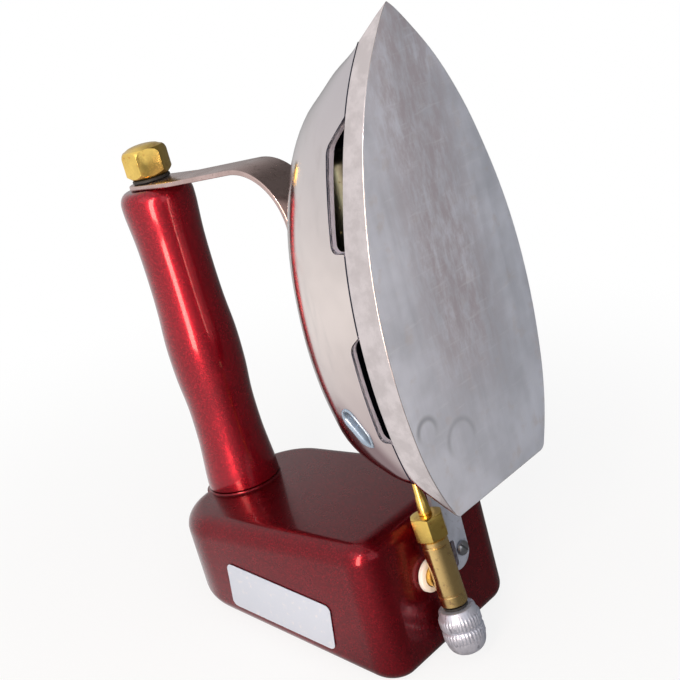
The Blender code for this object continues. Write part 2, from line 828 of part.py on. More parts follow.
def tank_box(inset):
    """A box with a slanted base, its upright corners and its rims rounded."""
    front = tank_front - inset
    rear = tank_rear + inset
    half = tank_half_width - inset
    top = tank_top - inset
    base_drop = inset / math.cos(math.radians(lean_deg))
    front_base = tank_top - tank_front_depth + base_drop + inset * slope
    rear_base = front_base + (front - rear) * slope
    shape = bmesh.new()
    bmesh.ops.create_cube(shape, size=2.0)
    for vert in shape.verts:
        ahead = vert.co.x > 0.0
        above = vert.co.z > 0.0
        vert.co.x = front if ahead else rear
        vert.co.y = math.copysign(half, vert.co.y)
        vert.co.z = top if above else (front_base if ahead else rear_base)
    for ahead, radius in ((True, tank_front_radius), (False, tank_rear_radius)):
        middle = (front + rear) / 2.0
        uprights = [edge for edge in shape.edges
                    if abs(edge.verts[0].co.x - edge.verts[1].co.x) < fit_gap
                    and abs(edge.verts[0].co.y - edge.verts[1].co.y) < fit_gap
                    and abs(edge.verts[0].co.z - edge.verts[1].co.z) > tank_base_radius
                    and (edge.verts[0].co.x > middle) == ahead]
        bmesh.ops.bevel(shape, geom=uprights, offset=radius - inset, offset_type="OFFSET",
                        segments=tank_corner_steps, profile=middle_share, affect="EDGES",
                        clamp_overlap=True)
    rims = {"top": [], "base": []}
    for edge in shape.edges:
        if len(edge.link_faces) != 2:
            continue
        tilts = sorted(abs(face.normal.z) for face in edge.link_faces)
        if tilts[1] > level_face and tilts[0] < upright_face:
            raised = max(face.normal.z for face in edge.link_faces) > upright_face
            rims["top" if raised else "base"].append(edge)
    bmesh.ops.bevel(shape, geom=rims["top"], offset=tank_top_radius - inset,
                    offset_type="OFFSET", segments=tank_top_steps, profile=middle_share,
                    affect="EDGES",
                    clamp_overlap=True)
    rims_left = [edge for edge in rims["base"] if edge.is_valid]
    bmesh.ops.bevel(shape, geom=rims_left, offset=tank_base_radius - inset,
                    offset_type="OFFSET", segments=tank_base_steps, profile=middle_share,
                    affect="EDGES",
                    clamp_overlap=True)
    bmesh.ops.recalc_face_normals(shape, faces=shape.faces)
    mesh = bpy.data.meshes.new("tank")
    shape.to_mesh(mesh)
    shape.free()
    return mesh


fuel_tank = add_part("fuel_tank", tank_box(0.0), red_paint)
fuel_tank.data.shade_smooth()
fuel_tank.data.set_sharp_from_angle(angle=math.radians(tank_sharp_edge_deg))
seat_top = tank_top + handle_seat_height
handle_place = (handle_axis, 0.0, 0.0)
handle_seat = turned_cutter("handle_seat",
                            rod_profile(handle_foot_radius, tank_top - tank_top_radius / 2.0,
                                        seat_top), handle_place, steps=fine_steps)
combine(fuel_tank, handle_seat, "UNION")
cavity = add_cutter("tank_cavity", tank_box(tank_wall))
rod_boss_depth = handle_seat_height + rod_in_tank + boss_floor
boss_radius = rod_radius + bore_clearance + tank_boss_wall
combine(cavity, turned_cutter("rod_boss",
                              rod_profile(boss_radius, seat_top - rod_boss_depth,
                                          tank_top + cut_overrun), handle_place))
screw_boss_end = tank_front - screw_length - boss_floor
combine(cavity, turned_cutter("tank_screw_boss",
                              rod_profile(hole_radius + tank_boss_wall / 2.0, 0.0,
                                          cut_overrun - screw_boss_end),
                              (screw_boss_end, tank_screw_place[1], tank_screw_height),
                              outwards))
combine(fuel_tank, cavity)
combine(fuel_tank, turned_cutter("rod_hole",
                                 rod_profile(rod_radius + bore_clearance,
                                             seat_top - rod_in_tank - fit_gap,
                                             seat_top + cut_overrun), handle_place))
combine(fuel_tank, bpy.data.objects["tank_screw_hole"])
stub_place = (tank_front, valve_side, stub_height)
combine(fuel_tank, turned_cutter("stub_hole",
                                 rod_profile(stub_radius + bore_clearance, -stub_in_tank,
                                             cut_overrun), stub_place, outwards))

# Handle, rod, nut and washer
grip_foot = seat_top + fit_gap
grip_top = grip_foot + handle_length
grip_profile = [(0.0, grip_top)]
for share, radius_share in handle_radius_shares[::-1]:
    grip_profile.append((handle_foot_radius * radius_share, grip_foot + handle_length * share))
grip_profile.append((0.0, grip_foot))
handle_grip = turned_part("handle_grip", grip_profile, red_paint, handle_place, steps=fine_steps)
rod_way = turned_cutter("rod_way", rod_profile(rod_radius + bore_clearance,
                                               grip_foot - cut_overrun, grip_top + cut_overrun),
                        handle_place)
combine(handle_grip, rod_way)
strap_low = grip_top + fit_gap
strap_top = strap_low + strap_thickness
washer_low = strap_top + fit_gap
washer_top = washer_low + washer_thickness
nut_low = washer_top + fit_gap
rod_top = strap_top + rod_past_strap
turned_part("tie_rod", rod_profile(rod_radius, seat_top - rod_in_tank, rod_top), plain_steel,
            handle_place)
washer_profile = [(washer_radius, washer_top), (washer_radius, washer_low),
                  (rod_radius + bore_clearance, washer_low),
                  (rod_radius + bore_clearance, washer_top)]
turned_part("nut_washer", washer_profile, dark_rubber, handle_place, closed=True)


def chamfered_hex(name, across_flats, low, high, chamfer, dome, finish, location,
                  rotation=(0.0, 0.0, 0.0)):
    """A six-sided nut, turned down at both ends."""
    item = add_part(name, hex_mesh(name, across_flats, low, high + dome), finish, location,
                    rotation)
    corner = across_flats / math.sqrt(3.0)
    flat = across_flats / 2.0
    turned_down = [(flat * across, high + dome * up) for across, up in nut_dome_shares]
    turned_down += [(corner, high - chamfer), (corner, low + chamfer),
                    (flat * nut_foot_share, low), (0.0, low)]
    combine(item, turned_cutter(name + "_turning", turned_down, location, rotation,
                                start_deg=0.0), "INTERSECT")
    return item


cap_nut = chamfered_hex("cap_nut", nut_across_flats, nut_low, nut_low + nut_height - nut_dome,
                        nut_chamfer, nut_dome, warm_brass, handle_place)
nut_bore_top = nut_low + nut_height - nut_floor
combine(cap_nut, turned_cutter("nut_bore", rod_profile(rod_radius + bore_clearance,
                                                       nut_low - cut_overrun, nut_bore_top),
                               handle_place))

# Strap over the handle's end and down the hood
strap_level = strap_low + strap_thickness / 2.0
strap_far_level = strap_level + strap_rise
strap_foot_touch = strap_far_level - strap_touch_drop
slope_step = hood_wall
ridge_touch = ridge_height(strap_foot_touch)
ridge_slope = (ridge_height(strap_foot_touch + slope_step)
               - ridge_height(strap_foot_touch - slope_step)) / (2.0 * slope_step)
foot_lift = (fit_gap + strap_thickness / 2.0) * math.hypot(1.0, ridge_slope)


def strap_foot_height(along):
    """Height of the strap foot's middle line above the ironing face."""
    return ridge_touch + foot_lift + ridge_slope * (along - strap_foot_touch)


strap_rise_corner = Vector((handle_axis + strap_rise_start, strap_level))
strap_bend_corner = Vector((-strap_foot_height(strap_far_level), strap_far_level))
strap_foot_way = Vector((-ridge_slope, 1.0)).normalized()
bend_half_angle = (strap_rise_corner - strap_bend_corner).angle(-strap_foot_way) / 2.0
bend_start = strap_bend_corner - strap_foot_way * (strap_bend_radius / math.tan(bend_half_angle))
rivet_upper_along = bend_start.y - rivet_from_bend
rivet_lower_along = rivet_upper_along - rivet_spacing
strap_foot_low = rivet_lower_along - rivet_from_foot
strap_corners = ((handle_axis - strap_end - cut_overrun, strap_level), strap_rise_corner,
                 strap_bend_corner, (-strap_foot_height(strap_foot_low), strap_foot_low))
strap_path = filleted_path(strap_corners, (strap_rise_radius, strap_bend_radius),
                           strap_bend_steps)
front_strap = add_part("front_strap",
                       slab_mesh("front_strap", strip_outline(strap_path, strap_thickness),
                                 2.0 * strap_half_width), bright_steel, rotation=side_on)
strap_plan_half = strap_half_width + fit_gap
strap_plan_corners = (
    (handle_axis - strap_end, -strap_plan_half), (cut_overrun, -strap_plan_half),
    (cut_overrun, strap_plan_half), (handle_axis - strap_end, strap_plan_half))
strap_end_radius = strap_half_width - fit_gap
strap_plan = rounded_outline(strap_plan_corners, (strap_end_radius, 0.0, 0.0, strap_end_radius))
combine(front_strap, add_cutter("strap_round_end",
                                slab_mesh("strap_round_end", strap_plan, handle_length),
                                location=(0.0, 0.0, strap_level)), "INTERSECT")
combine(front_strap, turned_cutter("strap_hole",
                                   rod_profile(rod_radius + bore_clearance,
                                               strap_low - cut_overrun,
                                               strap_top + cut_overrun), handle_place))
foot_tilt = -math.pi / 2.0 - math.atan(ridge_slope)
rivet_hold = strap_thickness + hood_wall + 3.0 * fit_gap + hood_wall
for rivet_name, rivet_along in (("strap_rivet_lower", rivet_lower_along),
                                ("strap_rivet_upper", rivet_upper_along)):
    lift = (strap_thickness / 2.0 + fit_gap) * math.hypot(1.0, ridge_slope)
    rivet_place = (-strap_foot_height(rivet_along) - lift, 0.0, rivet_along)
    rivet_profile = [(rivet_head_radius * across, rivet_head_height * up)
                     for across, up in rivet_head_shares]
    tail_radius = rivet_head_radius * rivet_tail_share
    rivet_profile += [(rivet_radius, 0.0), (rivet_radius, -rivet_hold),
                      (tail_radius, -rivet_hold), (tail_radius, -rivet_hold - rivet_head_height),
                      (0.0, -rivet_hold - rivet_head_height)]
    turned_part(rivet_name, rivet_profile, plain_steel, rivet_place, (0.0, foot_tilt, 0.0))
    rivet_hole = turned_cutter(rivet_name + "_hole",
                               rod_profile(rivet_radius + bore_clearance, -rivet_hold, fit_gap),
                               rivet_place, (0.0, foot_tilt, 0.0))
    combine(front_strap, rivet_hole)
    combine(hood, rivet_hole)

# Valve: stub, washer, body, hex holder and nozzle
valve_cross = (-valve_height, valve_side, stub_height)
valve_tilt = math.radians(valve_tilt_deg)
valve_turn = (0.0, -valve_tilt, 0.0)
valve_axis = (-valve_height + stub_height * math.sin(valve_tilt), valve_side,
              stub_height * (1.0 - math.cos(valve_tilt)))
stub_end = tank_front - stub_in_tank + fit_gap
stub_reach = -valve_height - stub_end
stub_profile = [(stub_radius, stub_reach), (stub_radius, 0.0), (stub_bore, 0.0),
                (stub_bore, stub_reach)]
tank_stub = turned_part("tank_stub", stub_profile, warm_brass,
                        (stub_end, valve_side, stub_height), outwards, closed=True)
combine(tank_stub, turned_cutter("stub_saddle",
                                 rod_profile(valve_radius + fit_gap, -stub_radius - cut_overrun,
                                             stub_radius + cut_overrun), valve_cross,
                                 valve_turn))
stub_washer_start = tank_front + fit_gap
ring_profile = [(stub_washer_radius, stub_washer_thickness), (stub_washer_radius, 0.0),
                (stub_radius + bore_clearance, 0.0),
                (stub_radius + bore_clearance, stub_washer_thickness)]
turned_part("stub_washer", ring_profile, white_nylon,
            (stub_washer_start, valve_side, stub_height), outwards, steps=middle_steps,
            closed=True)
body_profile = [
    (valve_radius - valve_edge, valve_top), (valve_radius, valve_top - valve_edge),
    (valve_radius, valve_bottom + valve_edge), (valve_radius - valve_edge, valve_bottom),
    (valve_bore, valve_bottom), (valve_bore, valve_top)]
valve_body = turned_part("valve_body", body_profile, warm_brass, valve_axis, valve_turn,
                         closed=True)
combine(valve_body, turned_cutter("valve_inlet",
                                  rod_profile(stub_bore, -valve_radius - cut_overrun, 0.0),
                                  valve_cross, outwards))
holder_low = valve_top + fit_gap
holder_top = holder_low + holder_height
jet_holder = chamfered_hex("jet_holder", holder_across_flats, holder_low, holder_top,
                           holder_chamfer, 0.0, warm_brass, valve_axis, valve_turn)
nozzle_bottom = holder_top - nozzle_shank
shank_radius = nozzle_base_radius - nozzle_tip_radius / 2.0
holder_bore = turned_cutter("holder_bore",
                            rod_profile(shank_radius + bore_clearance, nozzle_bottom - fit_gap,
                                        holder_top + cut_overrun), valve_axis, valve_turn)
combine(jet_holder, holder_bore)
combine(jet_holder, turned_cutter("holder_way",
                                  rod_profile(valve_bore, holder_low - cut_overrun,
                                              nozzle_bottom), valve_axis, valve_turn))
nozzle_low = holder_top + fit_gap
nozzle_tip = nozzle_low + nozzle_length
nozzle_profile = [
    (nozzle_tip_radius, nozzle_tip), (nozzle_base_radius, nozzle_low + nozzle_neck),
    (nozzle_base_radius, nozzle_low), (shank_radius, nozzle_low),
    (shank_radius, nozzle_bottom), (nozzle_bore, nozzle_bottom), (nozzle_bore, nozzle_tip)]
turned_part("jet_nozzle", nozzle_profile, warm_brass, valve_axis, valve_turn, closed=True)

# Valve: gland, stem, needle and knob
gland_top = valve_bottom - fit_gap
gland_low = gland_top - gland_thickness
gland_profile = [(gland_radius, gland_top), (gland_radius, gland_low),
                 (stem_radius + bore_clearance, gland_low),
                 (stem_radius + bore_clearance, gland_top)]
turned_part("gland_ring", gland_profile, dark_rubber, valve_axis, valve_turn, closed=True)
knob_top = gland_low - fit_gap
knob_bottom = knob_top - knob_length
row_one = knob_top - knob_collar
groove_one = row_one - knob_row
row_two = groove_one - knob_groove
groove_two = row_two - knob_row
bore_radius = stem_radius + bore_clearance
knob_profile = [
    (knob_collar_radius, knob_top), (knob_radius, row_one), (knob_radius, groove_one),
    (knob_radius - knob_groove_depth, groove_one), (knob_radius - knob_groove_depth, row_two),
    (knob_radius, row_two), (knob_radius, groove_two)]
nose_height = groove_two - knob_bottom
for step in range(1, nose_steps + 1):
    angle = math.pi / 2.0 * step / nose_steps
    drawn_in = (1.0 - knob_nose_share) * (1.0 - math.cos(angle))
    knob_profile.append((knob_radius * (1.0 - drawn_in),
                         groove_two - nose_height * math.sin(angle)))
knob_profile.append((0.0, knob_bottom))
knob_profile.append((0.0, knob_top - knob_stem_depth))
knob_profile.append((bore_radius, knob_top - knob_stem_depth))
knob_profile.append((bore_radius, knob_top))
turned_part("valve_knob", knob_profile + knob_profile[:1], nickel, valve_axis, valve_turn,
            steps=middle_steps)
stem_low = knob_top - knob_stem_depth + fit_gap
stem_top = stem_low + stem_length
turned_part("valve_stem", rod_profile(stem_radius, stem_low, stem_top), plain_steel, valve_axis,
            valve_turn)
needle_low = stem_top + needle_play
needle_top = needle_low + needle_length
needle_profile = [(0.0, needle_top), (needle_radius, needle_top - needle_point),
                  (needle_radius, needle_low), (0.0, needle_low)]
turned_part("valve_needle", needle_profile, plain_steel, valve_axis, valve_turn)

# Dip tube
base_at_dip = tank_top - tank_front_depth + tank_wall
dip_start = stub_end - fit_gap
dip_path = filleted_path(((dip_start, stub_height), (dip_start - dip_reach, stub_height),
                          (dip_start - dip_reach, base_at_dip + dip_end_clearance)),
                         (dip_bend,), arc_steps)
dip_curve = bpy.data.curves.new("dip_tube", "CURVE")
dip_curve.dimensions = "3D"
dip_curve.bevel_depth = dip_radius
dip_curve.bevel_resolution = 2
dip_curve.use_fill_caps = True
dip_spline = dip_curve.splines.new("POLY")
dip_spline.points.add(len(dip_path) - 1)
for point, route in zip(dip_spline.points, dip_path):
    point.co = (route.x, 0.0, route.y, 1.0)
add_part("dip_tube", dip_curve, warm_brass, location=(0.0, valve_side, 0.0))

# Filler valve
filler_face = tank_half_width + fit_gap
filler_place = (filler_along, filler_face, filler_height)
sideways = (-math.pi / 2.0, 0.0, 0.0)
gasket_top = filler_gasket_thickness
flange_low = gasket_top + fit_gap
flange_top = flange_low + filler_flange
shank_low = flange_low - filler_shank
chamber_top = flange_top - filler_mouth_length
filler_profile = [
    (filler_flange_radius - filler_end_wall / 2.0, flange_top),
    (filler_flange_radius, flange_top - filler_end_wall / 2.0),
    (filler_flange_radius, flange_low), (filler_shank_radius, flange_low),
    (filler_shank_radius, shank_low), (filler_end_bore, shank_low),
    (filler_end_bore, shank_low + filler_end_wall), (filler_chamber, shank_low + filler_end_wall),
    (filler_chamber, chamber_top), (filler_mouth, chamber_top), (filler_mouth, flange_top)]
turned_part("filler_body", filler_profile, warm_brass, filler_place, sideways, closed=True)
gasket_profile = [(filler_gasket_radius, gasket_top), (filler_gasket_radius, 0.0),
                  (filler_shank_radius + bore_clearance, 0.0),
                  (filler_shank_radius + bore_clearance, gasket_top)]
turned_part("filler_gasket", gasket_profile, dark_rubber, filler_place, sideways, closed=True)
combine(fuel_tank, turned_cutter("filler_hole",
                                 rod_profile(filler_shank_radius + bore_clearance,
                                             shank_low, cut_overrun), filler_place, sideways))
stem_flange_top = chamber_top - fit_gap
stem_flange_low = stem_flange_top - filler_stem_flange
filler_stem_profile = [
    (0.0, flange_top + filler_stem_proud), (filler_stem_radius, flange_top + filler_stem_proud),
    (filler_stem_radius, stem_flange_top), (filler_stem_flange_radius, stem_flange_top),
    (filler_stem_flange_radius, stem_flange_low), (0.0, stem_flange_low)]
turned_part("filler_stem", filler_stem_profile, warm_brass, filler_place, sideways)
coil_low = shank_low + filler_end_wall + fit_gap + filler_wire_radius
coil_high = stem_flange_low - fit_gap - filler_wire_radius
spring_curve = bpy.data.curves.new("filler_spring", "CURVE")
spring_curve.dimensions = "3D"
spring_curve.bevel_depth = filler_wire_radius
spring_curve.bevel_resolution = 1
spring_curve.use_fill_caps = True
spring_spline = spring_curve.splines.new("POLY")
spring_points = filler_turns * wire_steps
spring_spline.points.add(spring_points)
for index, point in enumerate(spring_spline.points):
    angle = 2.0 * math.pi * index / wire_steps
    rise = coil_low + (coil_high - coil_low) * index / spring_points
    point.co = (filler_coil_radius * math.cos(angle), filler_coil_radius * math.sin(angle),
                rise, 1.0)
add_part("filler_spring", spring_curve, plain_steel, filler_place, sideways)

# Bare label plate
label_corners = ((-label_length / 2.0, -label_height / 2.0),
                 (label_length / 2.0, -label_height / 2.0),
                 (label_length / 2.0, label_height / 2.0),
                 (-label_length / 2.0, label_height / 2.0))
label_mesh = slab_mesh("blank_label", rounded_outline(label_corners, (label_corner,) * 4),
                       label_thickness)
label_face = -tank_half_width - fit_gap - label_thickness / 2.0
add_part("blank_label", label_mesh, label_white, location=(label_along, label_face, label_up),
         rotation=(math.pi / 2.0, math.radians(lean_deg), 0.0))

tidy_cuts(hood)
tidy_cuts(fuel_tank)

# Stand the iron on its tank with the origin under the middle of its outline
bpy.context.view_layer.update()
graph = bpy.context.evaluated_depsgraph_get()
lowest = Vector((math.inf, math.inf, math.inf))
highest = -lowest
for item in parts.objects:
    if item.type == "EMPTY":
        continue
    shown = item.evaluated_get(graph)
    surface = shown.to_mesh()
    for vert in surface.vertices:
        spot = shown.matrix_world @ vert.co
        lowest = Vector(map(min, lowest, spot))
        highest = Vector(map(max, highest, spot))
    shown.to_mesh_clear()
stance.location = (-(lowest.x + highest.x) / 2.0, -(lowest.y + highest.y) / 2.0, -lowest.z)
bpy.context.view_layer.update()
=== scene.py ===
"""Butane iron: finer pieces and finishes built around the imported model, laid out as an add-on.

Pieces are shaped in the iron's own frame (x out of the ironing face, z from heel to toe)
and stood up by STANCE, which leans them back onto the tank's slanted base.
"""

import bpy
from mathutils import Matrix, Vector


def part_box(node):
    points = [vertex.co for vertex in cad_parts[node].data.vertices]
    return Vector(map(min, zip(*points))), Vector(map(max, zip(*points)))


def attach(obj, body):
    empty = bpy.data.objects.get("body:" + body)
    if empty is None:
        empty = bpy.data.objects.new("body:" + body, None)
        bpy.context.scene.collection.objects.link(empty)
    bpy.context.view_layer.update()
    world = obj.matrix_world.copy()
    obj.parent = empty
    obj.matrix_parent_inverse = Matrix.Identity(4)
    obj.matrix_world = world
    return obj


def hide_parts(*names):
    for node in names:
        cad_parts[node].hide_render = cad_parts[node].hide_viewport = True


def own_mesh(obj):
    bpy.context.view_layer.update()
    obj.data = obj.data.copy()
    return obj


bl_info = {
    "name": "Butane Iron Finishes",
    "version": (1, 0, 0),
    "blender": (4, 5, 0),
    "location": "View3D > Sidebar > Iron",
    "description": "Dresses the packed butane iron with finer pieces, finishes and a stage",
    "category": "Object",
}

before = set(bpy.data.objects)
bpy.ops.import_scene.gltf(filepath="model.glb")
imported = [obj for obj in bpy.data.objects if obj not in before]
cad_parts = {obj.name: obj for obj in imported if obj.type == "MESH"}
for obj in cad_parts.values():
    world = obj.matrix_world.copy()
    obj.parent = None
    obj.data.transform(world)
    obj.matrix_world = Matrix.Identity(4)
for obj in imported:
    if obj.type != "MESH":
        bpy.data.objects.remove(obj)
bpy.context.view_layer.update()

import math

import bmesh
import bpy
from bpy.props import FloatProperty, FloatVectorProperty, IntProperty, PointerProperty
from mathutils import Euler, Matrix, Vector

# Stance of the iron on its tank, found from the tie rod, whose middle is known
LEAN = math.radians(10.5)
ROD_MIDDLE = Vector((-0.160, 0.0, 0.06045))
UPRIGHT = Matrix.Rotation(-LEAN, 4, "Y")
rod_low, rod_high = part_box("tie_rod")
STANCE = Matrix.Translation((rod_low + rod_high) / 2.0 - UPRIGHT @ ROD_MIDDLE) @ UPRIGHT

# Clearance between touching pieces, and how far cutters reach past what they cut
GAP = 0.0003
OVERRUN = 0.0015

# Soleplate and hood: tables give shares of length against shares of width, depth or height,
# notches give name, start, length, depth and taper
SOLE_LENGTH = 0.190
SOLE_HALF_WIDTH = 0.0451
SOLE_THICKNESS = 0.012
HEEL_RAKE = 0.014
NOSE_RAKE = 0.011
HEEL_CORNER = 0.006
FACE_CORNER = 0.002
SOLE_OUTLINE = (
    (0.0, 0.672), (0.053, 0.776), (0.105, 0.856), (0.158, 0.914), (0.211, 0.952),
    (0.29, 0.988), (0.368, 1.0), (0.447, 0.989), (0.526, 0.952), (0.605, 0.887),
    (0.684, 0.796), (0.763, 0.682), (0.842, 0.524), (0.895, 0.386), (0.947, 0.215),
    (0.984, 0.078), (1.0, 0.0))
SOLE_DEPTH = ((0.0, 1.0), (0.55, 1.0), (0.74, 0.83), (0.9, 0.72), (1.0, 0.62))
SOLE_SIDE = ((0.35, 0.0), (0.65, 0.0), (0.955, 0.0), (0.985, 0.00018), (1.0, 0.0006))
HOOD_HEIGHT = 0.0715
HOOD_WALL = 0.0012
HOOD_RIDGE = (
    (0.088, 0.542), (0.105, 0.682), (0.126, 0.830), (0.158, 0.917), (0.2, 0.952), (0.263, 0.985),
    (0.35, 1.0), (0.44, 0.993), (0.53, 0.971), (0.62, 0.926), (0.71, 0.845), (0.775, 0.749),
    (0.827, 0.628), (0.865, 0.486), (0.898, 0.361), (0.925, 0.213))
NOTCHES = (("front_notch", 0.1105, 0.0444, 0.0081, 0.0085),
           ("rear_notch", 0.0364, 0.0434, 0.0057, 0.004))
NOTCH_CORNER = 0.003
NOTCH_SHEET = 0.0009
NOTCH_TURN = 0.0028
LIGHT_HOLE = (-0.0297, 0.0405)
LIGHT_HOLE_LENGTH = 0.0175
LIGHT_HOLE_WIDTH = 0.0092
LIGHT_HOLE_SLANT = math.radians(49.0)
LIP_WALL = 0.0042
LIP_INWARDS = Vector((0.35, 0.93, 0.12))
LIP_RINGS = (
    (1.15, -0.35, 0.0), (0.9, 0.25, 0.0), (0.35, 0.62, 0.0), (-0.25, 0.55, 0.12),
    (-0.6, 0.05, 0.3), (-0.72, -0.8, 0.42), (-0.72, 0.0, 0.42), (-0.35, 0.0, 0.4),
    (-0.3, -1.0, 0.0))
LIP_WALL_RINGS = (6, 7)
MIXER_HOLE_RADIUS = 0.0082
MIXER_HOLE_DEPTH = 0.040

# Valve, burner and bracket
VALVE_HEIGHT = 0.0350
VALVE_SIDE = -0.009
VALVE_TILT = math.radians(4.5)
VALVE_TOP = -0.0251
VALVE_BOTTOM = -0.0567
VALVE_RADIUS = 0.0059
VALVE_BORE = 0.0024
VALVE_HEAD = ((0.0005, 0.0), (0.0, 0.0005), (0.0, 0.0022), (0.00035, 0.0025),
              (0.00035, 0.0031), (0.0, 0.0034))
VALVE_FOOT = ((0.0, 0.0062), (0.0003, 0.0059), (0.0003, 0.0053), (0.0, 0.0050),
              (0.0, 0.0008), (0.0008, 0.0))
HOLDER_FLATS = 0.0132
HOLDER_HEIGHT = 0.0108
HOLDER_CHAMFER = 0.0013
HOLDER_BORE = 0.0026
HOLDER_TURN = Matrix.Rotation(math.radians(12.0), 4, "Z")
NOZZLE_LENGTH = 0.019
NOZZLE_SUNK = 0.006
NOZZLE_BORE = 0.0005
NOZZLE_TAIL = 0.00225
NOZZLE_TIP = ((0.0011, 0.0), (0.00122, 0.0002))
NOZZLE_STEPS = ((0.0019, 0.0085), (0.0021, 0.0080), (0.0026, 0.0030), (0.0028, 0.0020),
                (0.0028, 0.0), (NOZZLE_TAIL, 0.0))
STUB_HEIGHT = -0.0445
STUB_RADIUS = 0.0047
STUB_BORE = 0.0018
STUB_SUNK = 0.008
STUB_HOLE = 0.0050
STUB_HOLE_DEPTH = 0.004
STUB_SADDLE = 0.0062
STUB_WASHER_RADIUS = 0.0075
STUB_WASHER_THICKNESS = 0.0026
STUB_WASHER_EDGE = 0.0006
GLAND_RING = 0.0010
KNOB_LENGTH = 0.0209
KNOB_BORE = 0.0022
KNOB_SUNK = 0.010
KNOB_RIB_DEPTH = 0.00032
KNOB_NECK = 0.0087
KNOB_ROWS = 0.0146
KNOB_PROFILE = (
    (0.0074, 0.0, False), (0.0080, 0.0006, False), (0.0083, 0.0030, False),
    (0.0089, 0.0036, True), (0.0092, 0.0042, True), (0.0092, 0.0078, True),
    (0.0089, 0.0084, True), (0.0083, 0.0088, False), (0.0083, 0.0094, False),
    (0.0089, 0.0098, True), (0.0092, 0.0104, True), (0.0092, 0.0136, True),
    (0.0089, 0.0142, True), (KNOB_NECK, KNOB_ROWS, False))
BURNER_HEIGHT = 0.0365
BURNER_START = 0.092
BURNER_LENGTH = 0.050
BURNER_RADIUS = 0.011
BURNER_DOME = 0.006
BURNER_NECK = 0.0066
PORT_RADIUS = 0.0005
PORT_DEPTH = 0.002
PORT_ROWS = 4
PORT_START = 0.0047
PORT_PITCH = 0.0095
BRACKET_SIDE = 0.0098
BRACKET_HALF_WIDTH = 0.008
BRACKET_THICKNESS = 0.002
BRACKET_END = -0.0522
BRACKET_LEVELS = (-0.0537, -0.004, 0.040, 0.057)
BRACKET_BEND = 0.006
BRACKET_SCREW = -0.0435
BRACKET_SCREW_ASIDE = 0.003
BRACKET_SLOT = (0.013, 0.0036)
BRACKET_SLOT_ASIDE = 0.0025
TANK_SCREW = (0.0019, 0.0034, 0.0022, 0.006)
SCREW_SLOT = 0.00045
SCREW_SLOT_DEPTH = 0.0022
SCREW_SLOT_TURN = (0.0, 0.0, 0.6)

# Tank
TANK_FRONT = -0.045
TANK_REAR = -0.177
TANK_HALF_WIDTH = 0.043
TANK_TOP = -0.0155
TANK_FRONT_DEPTH = 0.0668
TANK_FRONT_CORNER = 0.013
TANK_REAR_CORNER = 0.030
TANK_BASE_EDGE = 0.007
FILLER_SPOT = (-0.112, -0.044)
FILLER_HOLE = 0.0045
FILLER_HOLE_DEPTH = 0.0125
LABEL_SPOT = (-0.1064, -0.0512)
LABEL_HALVES = (0.0315, 0.0115)
LABEL_CORNER = 0.003
LABEL_THICKNESS = 0.0004
LABEL_EDGE = 0.00012
SEAT_RISE = 0.0008
SEAT_SUNK = 0.0004
WELD_WIDTH = 0.0016
WELD_HEIGHT = 0.0011

# Handle, strap and nut
HANDLE_AXIS = -0.160
GRIP_FOOT = -0.0144
GRIP_LENGTH = 0.1495
GRIP_RADIUS = 0.0178
GRIP_SHARES = (
    (0.0, 1.0), (0.012, 1.0), (0.045, 0.985), (0.1, 0.945), (0.165, 0.905), (0.28, 0.897),
    (0.39, 0.962), (0.5, 0.97), (0.61, 0.912), (0.72, 0.892), (0.83, 0.905), (0.93, 0.963),
    (0.952, 0.966))
GRIP_SHOULDER = 0.0062
GRIP_ROUNDING = 0.72
GRIP_FOOT_EDGE = 0.0005
GRIP_STEPS = 70
ROD_BORE = 0.0043
STRAP_THICKNESS = 0.0022
STRAP_HALF_WIDTH = 0.0105
STRAP_FLAT = 0.022
STRAP_RISE = 0.0034
STRAP_BENDS = (0.060, 0.026)
STRAP_FOOT = 0.093265
STRAP_TOUCH = 0.104
RIVETS = (("strap_rivet_lower", 0.0052), ("strap_rivet_upper", 0.0152))
RIVET_RADIUS = 0.0032
RIVET_HEIGHT = 0.0014
RIVET_SHANK = 0.0016
RIVET_LENGTH = 0.0055
WASHER_RADIUS = 0.0088
WASHER_THICKNESS = 0.0014
WASHER_EDGE = 0.0003
NUT_FLATS = 0.0185
NUT_HEIGHT = 0.0138
NUT_BORE_DEPTH = 0.011
NUT_EDGE = 0.0003
NUT_CHAMFER = 0.0046
NUT_DOME = 0.0012

# Filler valve, with heights from the tank's side outwards
GASKET_RADIUS = 0.0072
GASKET_BORE = 0.0045
GASKET_THICKNESS = 0.0010
GASKET_EDGE = 0.0003
COLLAR_RADIUS = 0.0065
COLLAR_THICKNESS = 0.0026
COLLAR_EDGE = 0.0006
BARREL_RADIUS = 0.0042
BARREL_BORE = 0.0029
BARREL_DEPTH = 0.012
BARREL_FLOOR = 0.0108
PIN_RADIUS = 0.0012
PIN_RISE = 0.0010
PIN_BORE = 0.0016
PIN_STOP = 0.0055
FLANGE_RADIUS = 0.0024
FLANGE_THICKNESS = 0.0010
SPRING_RADIUS = 0.0021
SPRING_WIRE = 0.0003
SPRING_TURNS = 5

# Marks on the ironing face (y, z and radius), and tones that the finishes mix in
SOLE_RINGS = ((-0.0350, 0.0385, 0.0052), (-0.0175, 0.0275, 0.0078))
SOLE_STAIN = (0.39, 0.335, 0.315)
SOLE_WEAR = (0.345, 0.325, 0.365)
SOLE_SCRATCH = (0.52, 0.55, 0.60)
# Painted reflection: the dark red of the tank as mirrored in the hood's heel
TANK_REFLECTION_TONE = (0.13, 0.05, 0.065)
HOOD_TOE = (0.57, 0.53, 0.55)
HOOD_HEEL = (0.52, 0.42, 0.42)
HOOD_STREAK = (0.50, 0.45, 0.44)
DUST = (0.24, 0.15, 0.17)
FLOOR_TONE = (0.80, 0.79, 0.785, 1.0)

